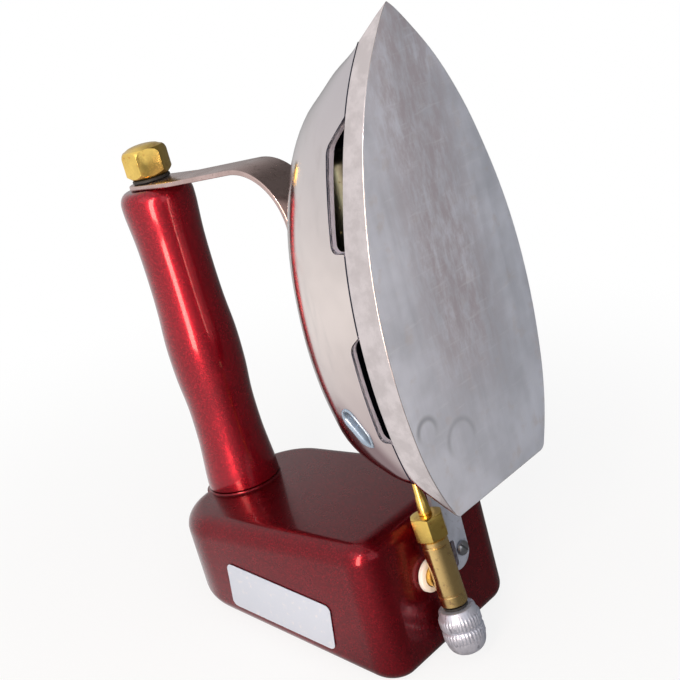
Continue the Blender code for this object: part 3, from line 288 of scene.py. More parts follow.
# Stage: lamps give name, size, power, colour, place and target
WHITE = (1.0, 1.0, 1.0, 1.0)
BRIGHT_WAY = (-0.64, -0.77, 0.0)
FLOOR_HALF = 6.0
FLOOR_DROP = -0.0002
FLOOR_NEAR = 0.12
FLOOR_FAR = 0.42
FLOOR_SHARE = 0.84
LAMPS = (
    ("key_lamp", (0.7, 0.7), 0.8, (1.0, 0.98, 0.97), (-0.15, -1.05, 0.95), (0.0, 0.0, 0.12)),
    ("fill_lamp", (0.9, 0.9), 2.1, (0.93, 0.96, 1.0), (1.15, -0.25, 0.75), (0.0, 0.0, 0.12)),
    ("strip_lamp", (0.19, 0.62), 5.2, (1.0, 0.78, 0.62), (0.27, -0.70, 0.30),
     (-0.06, 0.0, 0.13)),
    ("glint_lamp", (0.035, 0.035), 0.35, (1.0, 1.0, 1.0), (0.25, -0.52, 0.62),
     (0.0, 0.0, 0.12)))
CAMERA_PLACE = (0.28287, -0.33630, 0.20480)
CAMERA_TURN = (1.27003, 0.26270, 0.74451)
CAMERA_LENS = 63.658
CAMERA_SHIFT = (0.02847, 0.00895)

FACING_OUT = (0.0, math.pi / 2.0, 0.0)
SIDE_ON = (math.pi / 2.0, 0.0, 0.0)
OUT_OF_SIDE = (-math.pi / 2.0, 0.0, 0.0)


class IronSizes(bpy.types.PropertyGroup):
    """Small sizes of the dressed pieces."""
    sole_edge: FloatProperty(
        name="Sole edge", description="Rounding of the ironing face's edge",
        default=0.0005, min=0.0002, max=0.003, unit="LENGTH")
    hole_lip: FloatProperty(
        name="Hole lip", description="Thickness of the rolled lip round the light hole",
        default=0.0009, min=0.0003, max=0.002, unit="LENGTH")
    strap_edge: FloatProperty(
        name="Strap edge", description="Rounding of the strap's edges",
        default=0.0006, min=0.0001, max=0.001, unit="LENGTH")
    tank_edge: FloatProperty(
        name="Tank rim", description="Rounding of the tank's upper rim",
        default=0.0090, min=0.004, max=0.016, unit="LENGTH")
    knob_ribs: IntProperty(
        name="Knob ribs", description="Ribs round each row of the valve knob",
        default=36, min=12, max=72)
    burner_ports: IntProperty(
        name="Burner ports", description="Gas ports round each row of the burner",
        default=16, min=6, max=32)


class IronColours(bpy.types.PropertyGroup):
    """Colours of the iron's finishes."""
    paint: FloatVectorProperty(
        name="Candy paint", description="Colour of the tank's and handle's paint",
        default=(0.175, 0.0025, 0.0085), min=0.0, max=1.0, subtype="COLOR")
    paint_dark: FloatVectorProperty(
        name="Paint shade", description="Darker tone under the clear coat",
        default=(0.050, 0.0010, 0.0045), min=0.0, max=1.0, subtype="COLOR")
    hood: FloatVectorProperty(
        name="Hood steel", description="Tint of the polished hood",
        default=(0.83, 0.735, 0.70), min=0.0, max=1.0, subtype="COLOR")
    sole: FloatVectorProperty(
        name="Sole alloy", description="Tone of the brushed ironing face",
        default=(0.465, 0.497, 0.575), min=0.0, max=1.0, subtype="COLOR")
    brass: FloatVectorProperty(
        name="Brass", description="Tint of the brass fittings",
        default=(0.94, 0.64, 0.165), min=0.0, max=1.0, subtype="COLOR")
    knob: FloatVectorProperty(
        name="Knob metal", description="Tint of the valve knob",
        default=(0.58, 0.61, 0.72), min=0.0, max=1.0, subtype="COLOR")
    label: FloatVectorProperty(
        name="Label", description="Colour of the blank label plate",
        default=(0.47, 0.54, 0.65), min=0.0, max=1.0, subtype="COLOR")


def sizes():
    """The scene's size settings."""
    return bpy.context.scene.iron_sizes


def colours():
    """The scene's colour settings."""
    return bpy.context.scene.iron_colours


# Shared effects
def effect(name, inputs, outputs):
    """A node group with the named sockets, and its nodes."""
    group = bpy.data.node_groups.new(name, "ShaderNodeTree")
    for socket, kind, default in inputs:
        made = group.interface.new_socket(socket, in_out="INPUT", socket_type=kind)
        if default is not None:
            made.default_value = default
    for socket, kind in outputs:
        group.interface.new_socket(socket, in_out="OUTPUT", socket_type=kind)
    start = group.nodes.new("NodeGroupInput")
    end = group.nodes.new("NodeGroupOutput")
    return group, start, end


def feed(tree, value, socket):
    """Links a socket, or sets a plain value."""
    if isinstance(value, bpy.types.NodeSocket):
        tree.links.new(value, socket)
    else:
        socket.default_value = value


def math_node(tree, operation, *values):
    """A Math node fed by sockets or plain values."""
    node = tree.nodes.new("ShaderNodeMath")
    node.operation = operation
    for value, socket in zip(values, node.inputs):
        feed(tree, value, socket)
    return node.outputs[0]


def vector_node(tree, operation, *values):
    """A Vector Math node fed by sockets or plain vectors."""
    node = tree.nodes.new("ShaderNodeVectorMath")
    node.operation = operation
    for value, socket in zip(values, node.inputs):
        feed(tree, value, socket)
    return node.outputs["Value" if operation in ("LENGTH", "DOT_PRODUCT") else "Vector"]


def axes_of(tree, vector):
    """The X, Y and Z of a vector."""
    node = tree.nodes.new("ShaderNodeSeparateXYZ")
    tree.links.new(vector, node.inputs["Vector"])
    return node.outputs


def spread(tree, value, low, high, to_low=0.0, to_high=1.0):
    """Maps a value's range to another, smoothly."""
    node = tree.nodes.new("ShaderNodeMapRange")
    node.interpolation_type = "SMOOTHSTEP"
    tree.links.new(value, node.inputs["Value"])
    node.inputs["From Min"].default_value = low
    node.inputs["From Max"].default_value = high
    node.inputs["To Min"].default_value = to_low
    node.inputs["To Max"].default_value = to_high
    return node.outputs["Result"]


def noise_of(tree, place, scale, detail=3.0, roughness=0.55, stretch=None):
    """A noise value at a place, stretched along some axes if asked."""
    if stretch is not None:
        mapping = tree.nodes.new("ShaderNodeMapping")
        mapping.inputs["Scale"].default_value = stretch
        tree.links.new(place, mapping.inputs["Vector"])
        place = mapping.outputs["Vector"]
    noise = tree.nodes.new("ShaderNodeTexNoise")
    noise.inputs["Scale"].default_value = scale
    noise.inputs["Detail"].default_value = detail
    noise.inputs["Roughness"].default_value = roughness
    tree.links.new(place, noise.inputs["Vector"])
    return noise.outputs["Fac"]


def build_brushing():
    """Fine straight lines along z of the place given, with a soft uneven strength."""
    group, start, end = effect(
        "brushing",
        (("Place", "NodeSocketVector", None), ("Amount", "NodeSocketFloat", 1.0)),
        (("Lines", "NodeSocketFloat"), ("Roughness", "NodeSocketFloat")))
    lines = noise_of(group, start.outputs["Place"], 1.0, 4.0, 0.7, (900.0, 1500.0, 14.0))
    broad = noise_of(group, start.outputs["Place"], 1.0, 2.0, 0.5, (90.0, 160.0, 9.0))
    both = math_node(group, "MULTIPLY_ADD", lines, 0.6, broad)
    centred = math_node(group, "SUBTRACT", both, 0.8)
    level = math_node(group, "MULTIPLY", centred, start.outputs["Amount"])
    group.links.new(level, end.inputs["Lines"])
    group.links.new(spread(group, broad, 0.3, 0.7, 0.0, 1.0), end.inputs["Roughness"])
    return group


def build_smudges():
    """Soft blotches and thinner stains on top of a finish."""
    group, start, end = effect(
        "smudges",
        (("Place", "NodeSocketVector", None), ("Scale", "NodeSocketFloat", 60.0)),
        (("Blotches", "NodeSocketFloat"), ("Stains", "NodeSocketFloat")))
    for scale_share, detail, low, high, socket in (
            (1.0, 3.0, 0.36, 0.66, "Blotches"), (3.3, 5.0, 0.52, 0.74, "Stains")):
        noise = group.nodes.new("ShaderNodeTexNoise")
        noise.inputs["Detail"].default_value = detail
        noise.inputs["Roughness"].default_value = 0.6
        scale = math_node(group, "MULTIPLY", start.outputs["Scale"], scale_share)
        group.links.new(scale, noise.inputs["Scale"])
        group.links.new(start.outputs["Place"], noise.inputs["Vector"])
        group.links.new(spread(group, noise.outputs["Fac"], low, high), end.inputs[socket])
    return group


def build_flakes():
    """Fine metal flakes: a tilted normal and a twinkle for candy paint."""
    group, start, end = effect(
        "paint_flakes",
        (("Place", "NodeSocketVector", None), ("Strength", "NodeSocketFloat", 0.2)),
        (("Twinkle", "NodeSocketFloat"), ("Height", "NodeSocketFloat")))
    cells = group.nodes.new("ShaderNodeTexVoronoi")
    cells.inputs["Scale"].default_value = 2600.0
    group.links.new(start.outputs["Place"], cells.inputs["Vector"])
    split = group.nodes.new("ShaderNodeSeparateColor")
    group.links.new(cells.outputs["Color"], split.inputs["Color"])
    twinkle = spread(group, split.outputs["Red"], 0.45, 1.0)
    group.links.new(twinkle, end.inputs["Twinkle"])
    height = math_node(group, "MULTIPLY", split.outputs["Green"], start.outputs["Strength"])
    group.links.new(height, end.inputs["Height"])
    return group


def build_dust():
    """A light film that settles on surfaces facing up."""
    group, start, end = effect(
        "settled_dust",
        (("Place", "NodeSocketVector", None), ("Amount", "NodeSocketFloat", 0.3)),
        (("Mask", "NodeSocketFloat"),))
    geometry = group.nodes.new("ShaderNodeNewGeometry")
    up = spread(group, axes_of(group, geometry.outputs["Normal"])["Z"], 0.35, 0.98)
    speck = noise_of(group, start.outputs["Place"], 160.0, 6.0, 0.7)
    patch = math_node(group, "MULTIPLY", up, spread(group, speck, 0.3, 0.75))
    group.links.new(math_node(group, "MULTIPLY", patch, start.outputs["Amount"]),
                    end.inputs["Mask"])
    return group


EFFECTS = {}
FINISHES = {}


def effects():
    """The shared effect groups, built once."""
    if not EFFECTS:
        EFFECTS.update(brushing=build_brushing(), smudges=build_smudges(),
                       flakes=build_flakes(), dust=build_dust())
    return EFFECTS


class Finish:
    """One material: its shader, its place in the iron's own frame, and helpers to wire it."""

    def __init__(self, name, colour, roughness, metallic):
        self.material = bpy.data.materials.new(name)
        self.material.use_nodes = True
        self.tree = self.material.node_tree
        self.shader = self.tree.nodes["Principled BSDF"]
        self.shader.inputs["Roughness"].default_value = roughness
        self.shader.inputs["Metallic"].default_value = metallic
        self.shader.inputs["Base Color"].default_value = (*colour, 1.0)
        coordinates = self.tree.nodes.new("ShaderNodeTexCoord")
        mapping = self.tree.nodes.new("ShaderNodeMapping")
        back = STANCE.inverted()
        mapping.inputs["Location"].default_value = back.translation
        mapping.inputs["Rotation"].default_value = back.to_euler()
        self.tree.links.new(coordinates.outputs["Object"], mapping.inputs["Vector"])
        self.place = mapping.outputs["Vector"]
        FINISHES[name] = self.material

    def link(self, value, socket):
        """Feeds one of the shader's sockets."""
        self.tree.links.new(value, self.shader.inputs[socket])

    def group(self, name, **values):
        """Places a shared effect with its own values and returns its outputs."""
        node = self.tree.nodes.new("ShaderNodeGroup")
        node.node_tree = effects()[name]
        self.tree.links.new(self.place, node.inputs["Place"])
        for key, value in values.items():
            node.inputs[key.capitalize()].default_value = value
        return node.outputs

    def mix(self, factor, first, second):
        """Mixes two colours by a mask."""
        node = self.tree.nodes.new("ShaderNodeMix")
        node.data_type = "RGBA"
        feed(self.tree, factor, node.inputs["Factor"])
        for index, value in ((6, first), (7, second)):
            plain = not isinstance(value, bpy.types.NodeSocket)
            feed(self.tree, (*value, 1.0) if plain else value, node.inputs[index])
        return node.outputs[2]

    def bump(self, height, distance, strength=1.0):
        """Feeds the shader's normal from a height."""
        node = self.tree.nodes.new("ShaderNodeBump")
        node.inputs["Distance"].default_value = distance
        node.inputs["Strength"].default_value = strength
        self.tree.links.new(height, node.inputs["Height"])
        self.link(node.outputs["Normal"], "Normal")

    def range(self, value, low, high, to_low=0.0, to_high=1.0):
        """Maps a value to another range."""
        return spread(self.tree, value, low, high, to_low, to_high)

    def noise(self, scale, detail=3.0, roughness=0.55, stretch=None):
        """A noise value in the iron's own frame."""
        return noise_of(self.tree, self.place, scale, detail, roughness, stretch)


def shade(colour, share):
    """A colour made darker or lighter."""
    return tuple(min(part * share, 1.0) for part in colour)


def candy_paint(name, dust_amount, coat, depth=1.0):
    """Deep red candy paint under a clear coat, with fine flakes and settled dust. depth makes the
    whole paint lighter or darker; the handle's lighter copy is painted light.
    """
    base = shade(colours().paint, depth)
    dark = shade(colours().paint_dark, depth)
    made = Finish(name, base, 0.30, 0.78)
    made.shader.inputs["Coat Weight"].default_value = coat
    made.shader.inputs["Coat Roughness"].default_value = 0.085
    made.shader.inputs["Coat IOR"].default_value = 1.48
    made.shader.inputs["Specular IOR Level"].default_value = 0.15
    smudge = made.group("smudges", scale=26.0)
    flakes = made.group("flakes", strength=0.5)
    deep = made.mix(smudge["Blotches"], shade(base, 0.86), base)
    facing = made.tree.nodes.new("ShaderNodeLayerWeight")
    facing.inputs["Blend"].default_value = 0.42
    rim = made.mix(facing.outputs["Facing"], deep, dark)
    glint = made.mix(flakes["Twinkle"], rim, shade(base, 1.5))
    dust = made.group("dust", amount=dust_amount)
    made.link(made.mix(dust["Mask"], glint, DUST), "Base Color")
    made.link(made.range(smudge["Stains"], 0.0, 1.0, 0.27, 0.35), "Roughness")
    made.bump(flakes["Height"], 0.00006, 0.5)


def polished_steel(name):
    """Polished sheet with long soft ripples, a few rubbed streaks and a painted dark red
    reflection of the tank near the heel.
    """
    tint = colours().hood
    made = Finish(name, tint, 0.17, 1.0)
    smudge = made.group("smudges", scale=22.0)
    brush = made.group("brushing", amount=0.6)
    streak = made.noise(1.0, 3.0, 0.6, (55.0, 55.0, 16.0))
    mottled = made.mix(smudge["Blotches"], shade(tint, 0.92), shade(tint, 1.05))
    place = axes_of(made.tree, made.place)
    mottled = made.mix(made.range(place["Z"], 0.085, 0.175), mottled, HOOD_TOE)
    mottled = made.mix(made.range(place["Z"], 0.095, 0.015), mottled, HOOD_HEEL)
    # Painted reflection of the tank: a dark red patch on the lower heel of the hood
    slanted = math_node(made.tree, "MULTIPLY_ADD", place["Z"], 0.667, place["X"])
    heel = math_node(made.tree, "MULTIPLY", made.range(slanted, 0.0070, -0.0020, 0.0, 0.72),
                     made.range(place["Z"], 0.060, 0.038))
    mottled = made.mix(heel, mottled, TANK_REFLECTION_TONE)
    made.link(made.mix(made.range(streak, 0.56, 0.78, 0.0, 0.5), mottled, HOOD_STREAK),
              "Base Color")
    made.link(made.range(smudge["Stains"], 0.0, 1.0, 0.15, 0.27), "Roughness")
    ripple = made.noise(30.0, 2.0, 0.4, (1.0, 1.0, 0.5))
    made.bump(math_node(made.tree, "MULTIPLY_ADD", brush["Lines"], 0.012, ripple), 0.0011, 0.45)


def sole_face(name):
    """Brushed and worn ironing face: blotches, faint lines and two heel rings."""
    tint = colours().sole
    made = Finish(name, tint, 0.52, 0.25)
    made.shader.inputs["Specular IOR Level"].default_value = 0.3
    smudge = made.group("smudges", scale=34.0)
    brush = made.group("brushing", amount=1.0)
    patches = made.mix(smudge["Blotches"], shade(tint, 0.80), shade(tint, 1.12))
    stained = made.mix(made.range(smudge["Stains"], 0.0, 1.0, 0.0, 0.45), patches, SOLE_STAIN)
    lines = made.mix(made.range(brush["Lines"], -0.5, 0.5), shade(tint, 0.80),
                     shade(tint, 1.18))
    worn = made.mix(0.35, stained, lines)
    place = axes_of(made.tree, made.place)
    aside = math_node(made.tree, "ABSOLUTE", place["Y"])
    middle = math_node(made.tree, "MULTIPLY", made.range(aside, 0.006, 0.034, 1.0, 0.0),
                       made.range(place["Z"], 0.020, 0.075))
    mottled = made.noise(1.0, 6.0, 0.72, (110.0, 190.0, 70.0))
    worn = made.mix(math_node(made.tree, "MULTIPLY", middle,
                              made.range(mottled, 0.34, 0.62, 0.15, 0.95)), worn, SOLE_WEAR)
    crossed = made.noise(1.0, 3.0, 0.6, (40.0, 60.0, 620.0))
    worn = made.mix(made.range(crossed, 0.56, 0.72, 0.0, 0.30), worn, SOLE_SCRATCH)
    for ring_y, ring_z, ring in SOLE_RINGS:
        centred = vector_node(made.tree, "SUBTRACT", made.place, (0.0, ring_y, ring_z))
        reach = vector_node(made.tree, "LENGTH", centred)
        band = math_node(made.tree, "MULTIPLY", made.range(reach, ring - 0.0018, ring),
                         made.range(reach, ring, ring + 0.0022, 1.0, 0.0))
        upper = made.range(axes_of(made.tree, centred)["Z"], -0.7 * ring, 0.4 * ring, 0.1)
        band = math_node(made.tree, "MULTIPLY", band, upper)
        faint = math_node(made.tree, "MULTIPLY", band,
                          made.range(smudge["Blotches"], 0.0, 1.0, 0.5, 0.9))
        worn = made.mix(faint, worn, shade(tint, 0.55))
    made.link(worn, "Base Color")
    made.link(made.range(brush["Roughness"], 0.0, 1.0, 0.44, 0.60), "Roughness")
    made.bump(brush["Lines"], 0.00010, 0.35)


def metal(name, tint, roughness, tarnish, tarnish_share, grain=0.0, metallic=1.0):
    """A plain metal with uneven tarnish, handling marks and a fine grain."""
    made = Finish(name, tint, roughness, metallic)
    smudge = made.group("smudges", scale=120.0)
    shaded = made.mix(smudge["Blotches"], shade(tint, 0.88), shade(tint, 1.06))
    made.link(made.mix(made.range(smudge["Stains"], 0.0, 1.0, 0.0, tarnish_share), shaded,
                       tarnish), "Base Color")
    made.link(made.range(smudge["Blotches"], 0.0, 1.0, roughness + 0.07, roughness - 0.03),
              "Roughness")
    made.bump(made.noise(1400.0, 4.0, 0.6), 0.00004, 0.25 + grain)


def matte(name, tint, roughness, speckle):
    """A matte plastic, rubber or paper with a soft grain."""
    made = Finish(name, tint, roughness, 0.0)
    smudge = made.group("smudges", scale=90.0)
    made.link(made.mix(made.range(smudge["Stains"], 0.0, 1.0, 0.0, 0.5), tint, speckle),
              "Base Color")
    made.bump(made.noise(1800.0, 3.0, 0.6), 0.00005, 0.3)


def build_finishes():
    """All the finishes of the iron."""
    brass = tuple(colours().brass)
    candy_paint("candy_paint_tank", 0.04, 0.45)
    # Painted light: the handle takes the tank's paint 1.8 times lighter, as a lit copy of the same
    # paint
    candy_paint("candy_paint_handle", 0.02, 0.80, 1.8)
    polished_steel("polished_hood_steel")
    sole_face("worn_sole_face")
    metal("polished_sole_edge", (0.74, 0.665, 0.665), 0.20, (0.67, 0.60, 0.60), 0.2)
    metal("bright_brass", brass, 0.19, (0.68, 0.30, 0.06), 0.75)
    metal("aged_brass", (0.89, 0.62, 0.26), 0.22, (0.40, 0.25, 0.14), 0.75)
    metal("browned_strap_steel", (0.62, 0.46, 0.43), 0.22, (0.30, 0.22, 0.19), 0.6)
    metal("dulled_steel", (0.74, 0.71, 0.82), 0.42, (0.50, 0.46, 0.50), 0.5, 0.0, 0.25)
    metal("pale_lip_steel", (0.36, 0.45, 0.56), 0.30, (0.20, 0.24, 0.32), 0.5, 0.0, 0.7)
    metal("sooty_hood_inside", (0.035, 0.045, 0.085), 0.60, (0.012, 0.012, 0.02), 0.8, 0.0, 0.2)
    metal("dull_bracket_plate", (0.50, 0.53, 0.62), 0.40, (0.30, 0.31, 0.36), 0.7, 0.0, 0.35)
    metal("plated_steel", (0.52, 0.52, 0.55), 0.28, (0.30, 0.29, 0.30), 0.5)
    metal("cast_knob_metal", tuple(colours().knob), 0.34, (0.17, 0.17, 0.23), 0.8, 0.5, 0.6)
    metal("sooty_brass", (1.0, 0.90, 0.58), 0.32, (0.80, 0.60, 0.28), 0.2)
    matte("white_nylon", (0.82, 0.80, 0.76), 0.38, (0.66, 0.62, 0.55))
    matte("dark_rubber", (0.022, 0.021, 0.022), 0.62, (0.05, 0.047, 0.045))
    matte("blank_label", tuple(colours().label), 0.42, (0.70, 0.68, 0.70))


# Shaping
def smooth_value(table, share):
    """Reads a table of (share, value) pairs along a smooth curve."""
    if share <= table[0][0]:
        return table[0][1]
    if share >= table[-1][0]:
        return table[-1][1]
    index = 0
    while table[index + 1][0] < share:
        index += 1
    (start, low), (end, high) = table[index], table[index + 1]
    span = end - start
    steepness = []
    for near in (index, index + 1):
        before = table[max(near - 1, 0)]
        after = table[min(near + 1, len(table) - 1)]
        steepness.append((after[1] - before[1]) / (after[0] - before[0]) * span)
    part = (share - start) / span
    ease = part * part * (3.0 - 2.0 * part)
    return (low * (1.0 - ease) + high * ease
            + steepness[0] * part * (1.0 - part) ** 2 - steepness[1] * part * part * (1.0 - part))


def end_shares(count):
    """Shares from one end to the other, closer together at both ends."""
    return [(1.0 - math.cos(math.pi * index / count)) / 2.0 for index in range(count + 1)]


def sole_width(along):
    """Half the sole's width at a distance from the heel."""
    return SOLE_HALF_WIDTH * max(smooth_value(SOLE_OUTLINE, along / SOLE_LENGTH), 0.0)


def sole_depth(along):
    """How far the top of the soleplate lies behind the ironing face."""
    return SOLE_THICKNESS * smooth_value(SOLE_DEPTH, along / SOLE_LENGTH)


def rounded_width(along, start, radius):
    """Half the width with the corner at the heel end rounded off."""
    reach = along - start
    if reach >= radius:
        return sole_width(along)
    return sole_width(along) - radius + math.sqrt(max(radius ** 2 - (radius - reach) ** 2, 0.0))


def ridge_height(along):
    """Height of the hood's crown above the ironing face."""
    heel, toe = HEEL_RAKE, SOLE_LENGTH - NOSE_RAKE
    table = ((heel / SOLE_LENGTH, sole_depth(heel) / HOOD_HEIGHT),) + HOOD_RIDGE
    table += ((toe / SOLE_LENGTH, sole_depth(toe) / HOOD_HEIGHT),)
    return HOOD_HEIGHT * smooth_value(table, along / SOLE_LENGTH)


def finish_mesh(shape, name, smooth_deg=32.0):
    """Turns a bmesh into a mesh, facing out, smooth but for its sharp edges."""
    bmesh.ops.recalc_face_normals(shape, faces=shape.faces)
    mesh = bpy.data.meshes.new(name)
    shape.to_mesh(mesh)
    shape.free()
    mesh.shade_smooth()
    mesh.set_sharp_from_angle(angle=math.radians(smooth_deg))
    return mesh


def turned_mesh(name, profile, steps=64, loop=False, ribs=None, smooth_deg=32.0):
    """A profile of (radius, height) pairs turned about z. ribs gives each ring's rib depth."""
    shape = bmesh.new()
    rings = []
    for index, (radius, height) in enumerate(profile):
        if radius <= 0.0:
            rings.append([shape.verts.new((0.0, 0.0, height))])
            continue
        ring = []
        for step in range(steps):
            angle = 2.0 * math.pi * step / steps
            reach = radius
            if ribs and ribs[index]:
                count, depth = ribs[index]
                reach -= depth * (0.5 - 0.5 * math.cos(count * angle))
            ring.append(shape.verts.new((reach * math.cos(angle), reach * math.sin(angle),
                                         height)))
        rings.append(ring)
    pairs = list(zip(rings[:-1], rings[1:]))
    if loop:
        pairs.append((rings[-1], rings[0]))
    for one, two in pairs:
        for step in range(steps):
            after = (step + 1) % steps
            if len(one) == 1 and len(two) == 1:
                continue
            if len(one) == 1:
                shape.faces.new((one[0], two[step], two[after]))
            elif len(two) == 1:
                shape.faces.new((one[step], two[0], one[after]))
            else:
                shape.faces.new((one[step], two[step], two[after], one[after]))
    return finish_mesh(shape, name, smooth_deg)


def rod_mesh(name, radius, low, high, steps=48):
    """A plain round bar along z."""
    return turned_mesh(name, [(0.0, high), (radius, high), (radius, low), (0.0, low)], steps)


def quarter(count, first=0):
    """Sine and cosine of even steps through a quarter turn."""
    angles = [math.pi / 2.0 * step / count for step in range(first, count + 1)]
    return [(math.sin(angle), math.cos(angle)) for angle in angles]


def corner_arc(previous, corner, following, radius, steps):
    """The arc that rounds the corner between two straight runs."""
    here = Vector(corner)
    before = (Vector(previous) - here).normalized()
    after = (Vector(following) - here).normalized()
    half = before.angle(after) / 2.0
    reach = radius / math.tan(half)
    centre = here + (before + after).normalized() * (radius / math.sin(half))
    start = here + before * reach - centre
    sweep = math.pi - 2.0 * half
    way = 1.0 if start.x * (-before.y) - start.y * (-before.x) > 0.0 else -1.0
    return [centre + Matrix.Rotation(way * sweep * step / steps, 2) @ start
            for step in range(steps + 1)]


def rounded_outline(corners, radii, steps=10):
    """A closed outline of straight sides with an arc at each corner that has a radius."""
    outline = []
    for index, (corner, radius) in enumerate(zip(corners, radii)):
        if radius > 0.0:
            following = corners[(index + 1) % len(corners)]
            outline += map(tuple, corner_arc(corners[index - 1], corner, following, radius, steps))
        else:
            outline.append(corner)
    return outline


def filleted_path(corners, radii, steps=20):
    """An open path of straight runs with an arc at each inner corner."""
    path = [Vector(corners[0])]
    for previous, corner, following, radius in zip(corners, corners[1:], corners[2:], radii):
        path += corner_arc(previous, corner, following, radius, steps)
    return path + [Vector(corners[-1])]


def stadium(length, width, steps=12):
    """A slot outline with round ends, its length along the first axis."""
    half = (length - width) / 2.0
    outline = []
    for side in (1.0, -1.0):
        for step in range(steps + 1):
            angle = -math.pi / 2.0 + math.pi * step / steps
            outline.append((side * (half + width / 2.0 * math.cos(angle)),
                            side * width / 2.0 * math.sin(angle)))
    return outline


def slab_mesh(name, outline, depth):
    """A flat outline in the local xy plane with an even thickness."""
    shape = bmesh.new()
    low = [shape.verts.new((across, up, -depth / 2.0)) for across, up in outline]
    high = [shape.verts.new((across, up, depth / 2.0)) for across, up in outline]
    count = len(outline)
    for index in range(count):
        after = (index + 1) % count
        shape.faces.new((low[index], low[after], high[after], high[index]))
    shape.faces.new(low[::-1])
    shape.faces.new(high)
    return finish_mesh(shape, name)


def strip_mesh(name, path, half_widths, thickness, edge):
    """A bent strip with rounded edges. The path lies in local xz, the width along y."""
    corner_steps = 3
    section = []
    for sign_y, sign_t in ((1.0, 1.0), (-1.0, 1.0), (-1.0, -1.0), (1.0, -1.0)):
        first = 0.0 if sign_y * sign_t > 0.0 else math.pi / 2.0
        for step in range(corner_steps + 1):
            angle = first + (1.0 if first == 0.0 else -1.0) * math.pi / 2.0 * step / corner_steps
            section.append((sign_y, edge * (1.0 - math.cos(angle)),
                            sign_t * (thickness / 2.0 - edge + edge * math.sin(angle))))
    shape = bmesh.new()
    rings = []
    for index, point in enumerate(path):
        before = path[max(index - 1, 0)]
        after = path[min(index + 1, len(path) - 1)]
        along = (after - before).normalized()
        aside = Vector((-along.y, along.x))
        ring = []
        for sign, inset, level in section:
            spot = point + aside * level
            ring.append(shape.verts.new((spot.x, sign * (half_widths[index] - inset), spot.y)))
        rings.append(ring)
    count = len(section)
    for one, two in zip(rings[:-1], rings[1:]):
        for index in range(count):
            after = (index + 1) % count
            shape.faces.new((one[index], one[after], two[after], two[index]))
    shape.faces.new(rings[0])
    shape.faces.new(rings[-1][::-1])
    return finish_mesh(shape, name, 40.0)


def round_end(path, start, axis, half, edge):
    """A strip's path and half widths, its first end rounded off from a start along an axis."""
    head = []
    for share in (0.0, 0.12, 0.25, 0.4, 0.55, 0.7, 0.85, 1.0):
        point = start.copy()
        point[axis] += half * share * share
        head.append(point)
    path = head + path[1:]
    widths = []
    for point in path:
        short = max(half - (point[axis] - start[axis]), 0.0)
        width = math.sqrt(max(half ** 2 - short ** 2, 0.0)) + edge
        widths.append(min(width, half))
    return path, widths


def seat(location=(0.0, 0.0, 0.0), rotation=(0.0, 0.0, 0.0)):
    """The matrix of a place in the iron's own frame."""
    return Matrix.Translation(location) @ Euler(rotation).to_matrix().to_4x4()


VALVE_CROSS = Vector((-VALVE_HEIGHT, VALVE_SIDE, STUB_HEIGHT))
VALVE_SEAT = (Matrix.Translation(VALVE_CROSS) @ Matrix.Rotation(-VALVE_TILT, 4, "Y")
              @ Matrix.Translation((0.0, 0.0, -STUB_HEIGHT)))
BURNER_SEAT = seat((-BURNER_HEIGHT, VALVE_SIDE, 0.0))
HANDLE_SEAT = seat((HANDLE_AXIS, 0.0, 0.0))


def loose(mesh, place):
    """A helper object in the iron's own frame, used only for cutting."""
    item = bpy.data.objects.new(mesh.name, mesh)
    bpy.context.scene.collection.objects.link(item)
    item.matrix_world = place
    return item


def carved(mesh, place, steps, smooth_deg=32.0, bevel=0.0, segments=2):
    """Cuts, joins or crosses a mesh with others in the iron's frame, then rounds its edges."""
    item = loose(mesh, place)
    helpers = []
    for operation, other, spot in steps:
        helper = loose(other, spot)
        helpers.append(helper)
        cut = item.modifiers.new(operation.lower(), "BOOLEAN")
        cut.operation = operation
        cut.solver = "EXACT"
        cut.object = helper
    if bevel > 0.0:
        weld = item.modifiers.new("weld", "WELD")
        weld.merge_threshold = 0.00003
        round_off = item.modifiers.new("bevel", "BEVEL")
        round_off.width = bevel
        round_off.segments = segments
        round_off.limit_method = "ANGLE"
        round_off.angle_limit = math.radians(smooth_deg)
        round_off.use_clamp_overlap = True
    bpy.context.view_layer.update()
    graph = bpy.context.evaluated_depsgraph_get()
    result = bpy.data.meshes.new_from_object(item.evaluated_get(graph))
    result.transform(item.matrix_world)
    for used in [item] + helpers:
        bpy.data.objects.remove(used, do_unlink=True)
    result.name = mesh.name
    result.materials.clear()
    result.shade_smooth()
    result.set_sharp_from_angle(angle=math.radians(smooth_deg))
    return result


def set_piece(name, mesh, finish, body, node=None, place=None):
    """A finished piece: stood up, given its material, and riding on its body."""
    if place is not None:
        mesh.transform(place)
    mesh.transform(STANCE)
    mesh.materials.clear()
    for one in (finish if isinstance(finish, tuple) else (finish,)):
        mesh.materials.append(FINISHES[one])
    item = bpy.data.objects.new(name, mesh)
    bpy.context.scene.collection.objects.link(item)
    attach(item, body)
    if node:
        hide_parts(node)
    return item


def set_turned(node, profile, steps, finish, place):
    """A piece of the iron turned from a closed profile, in place of a node."""
    name = node + "_fine"
    return set_piece(name, turned_mesh(name, profile, steps, True), finish, "iron", node,
                     place)


def paint_node(node, finish):
    """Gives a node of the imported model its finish."""
    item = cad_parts[node]
    if not item.material_slots:
        raise RuntimeError(f"{node} has no material slot")
    for slot in item.material_slots:
        slot.link = "OBJECT"
        slot.material = FINISHES[finish]


class IronOperator:
    """What all the iron's operators share."""
    bl_options = {"REGISTER", "UNDO"}

    def execute(self, context):
        """Builds the piece; any fault is raised."""
        self.build()
        return {"FINISHED"}


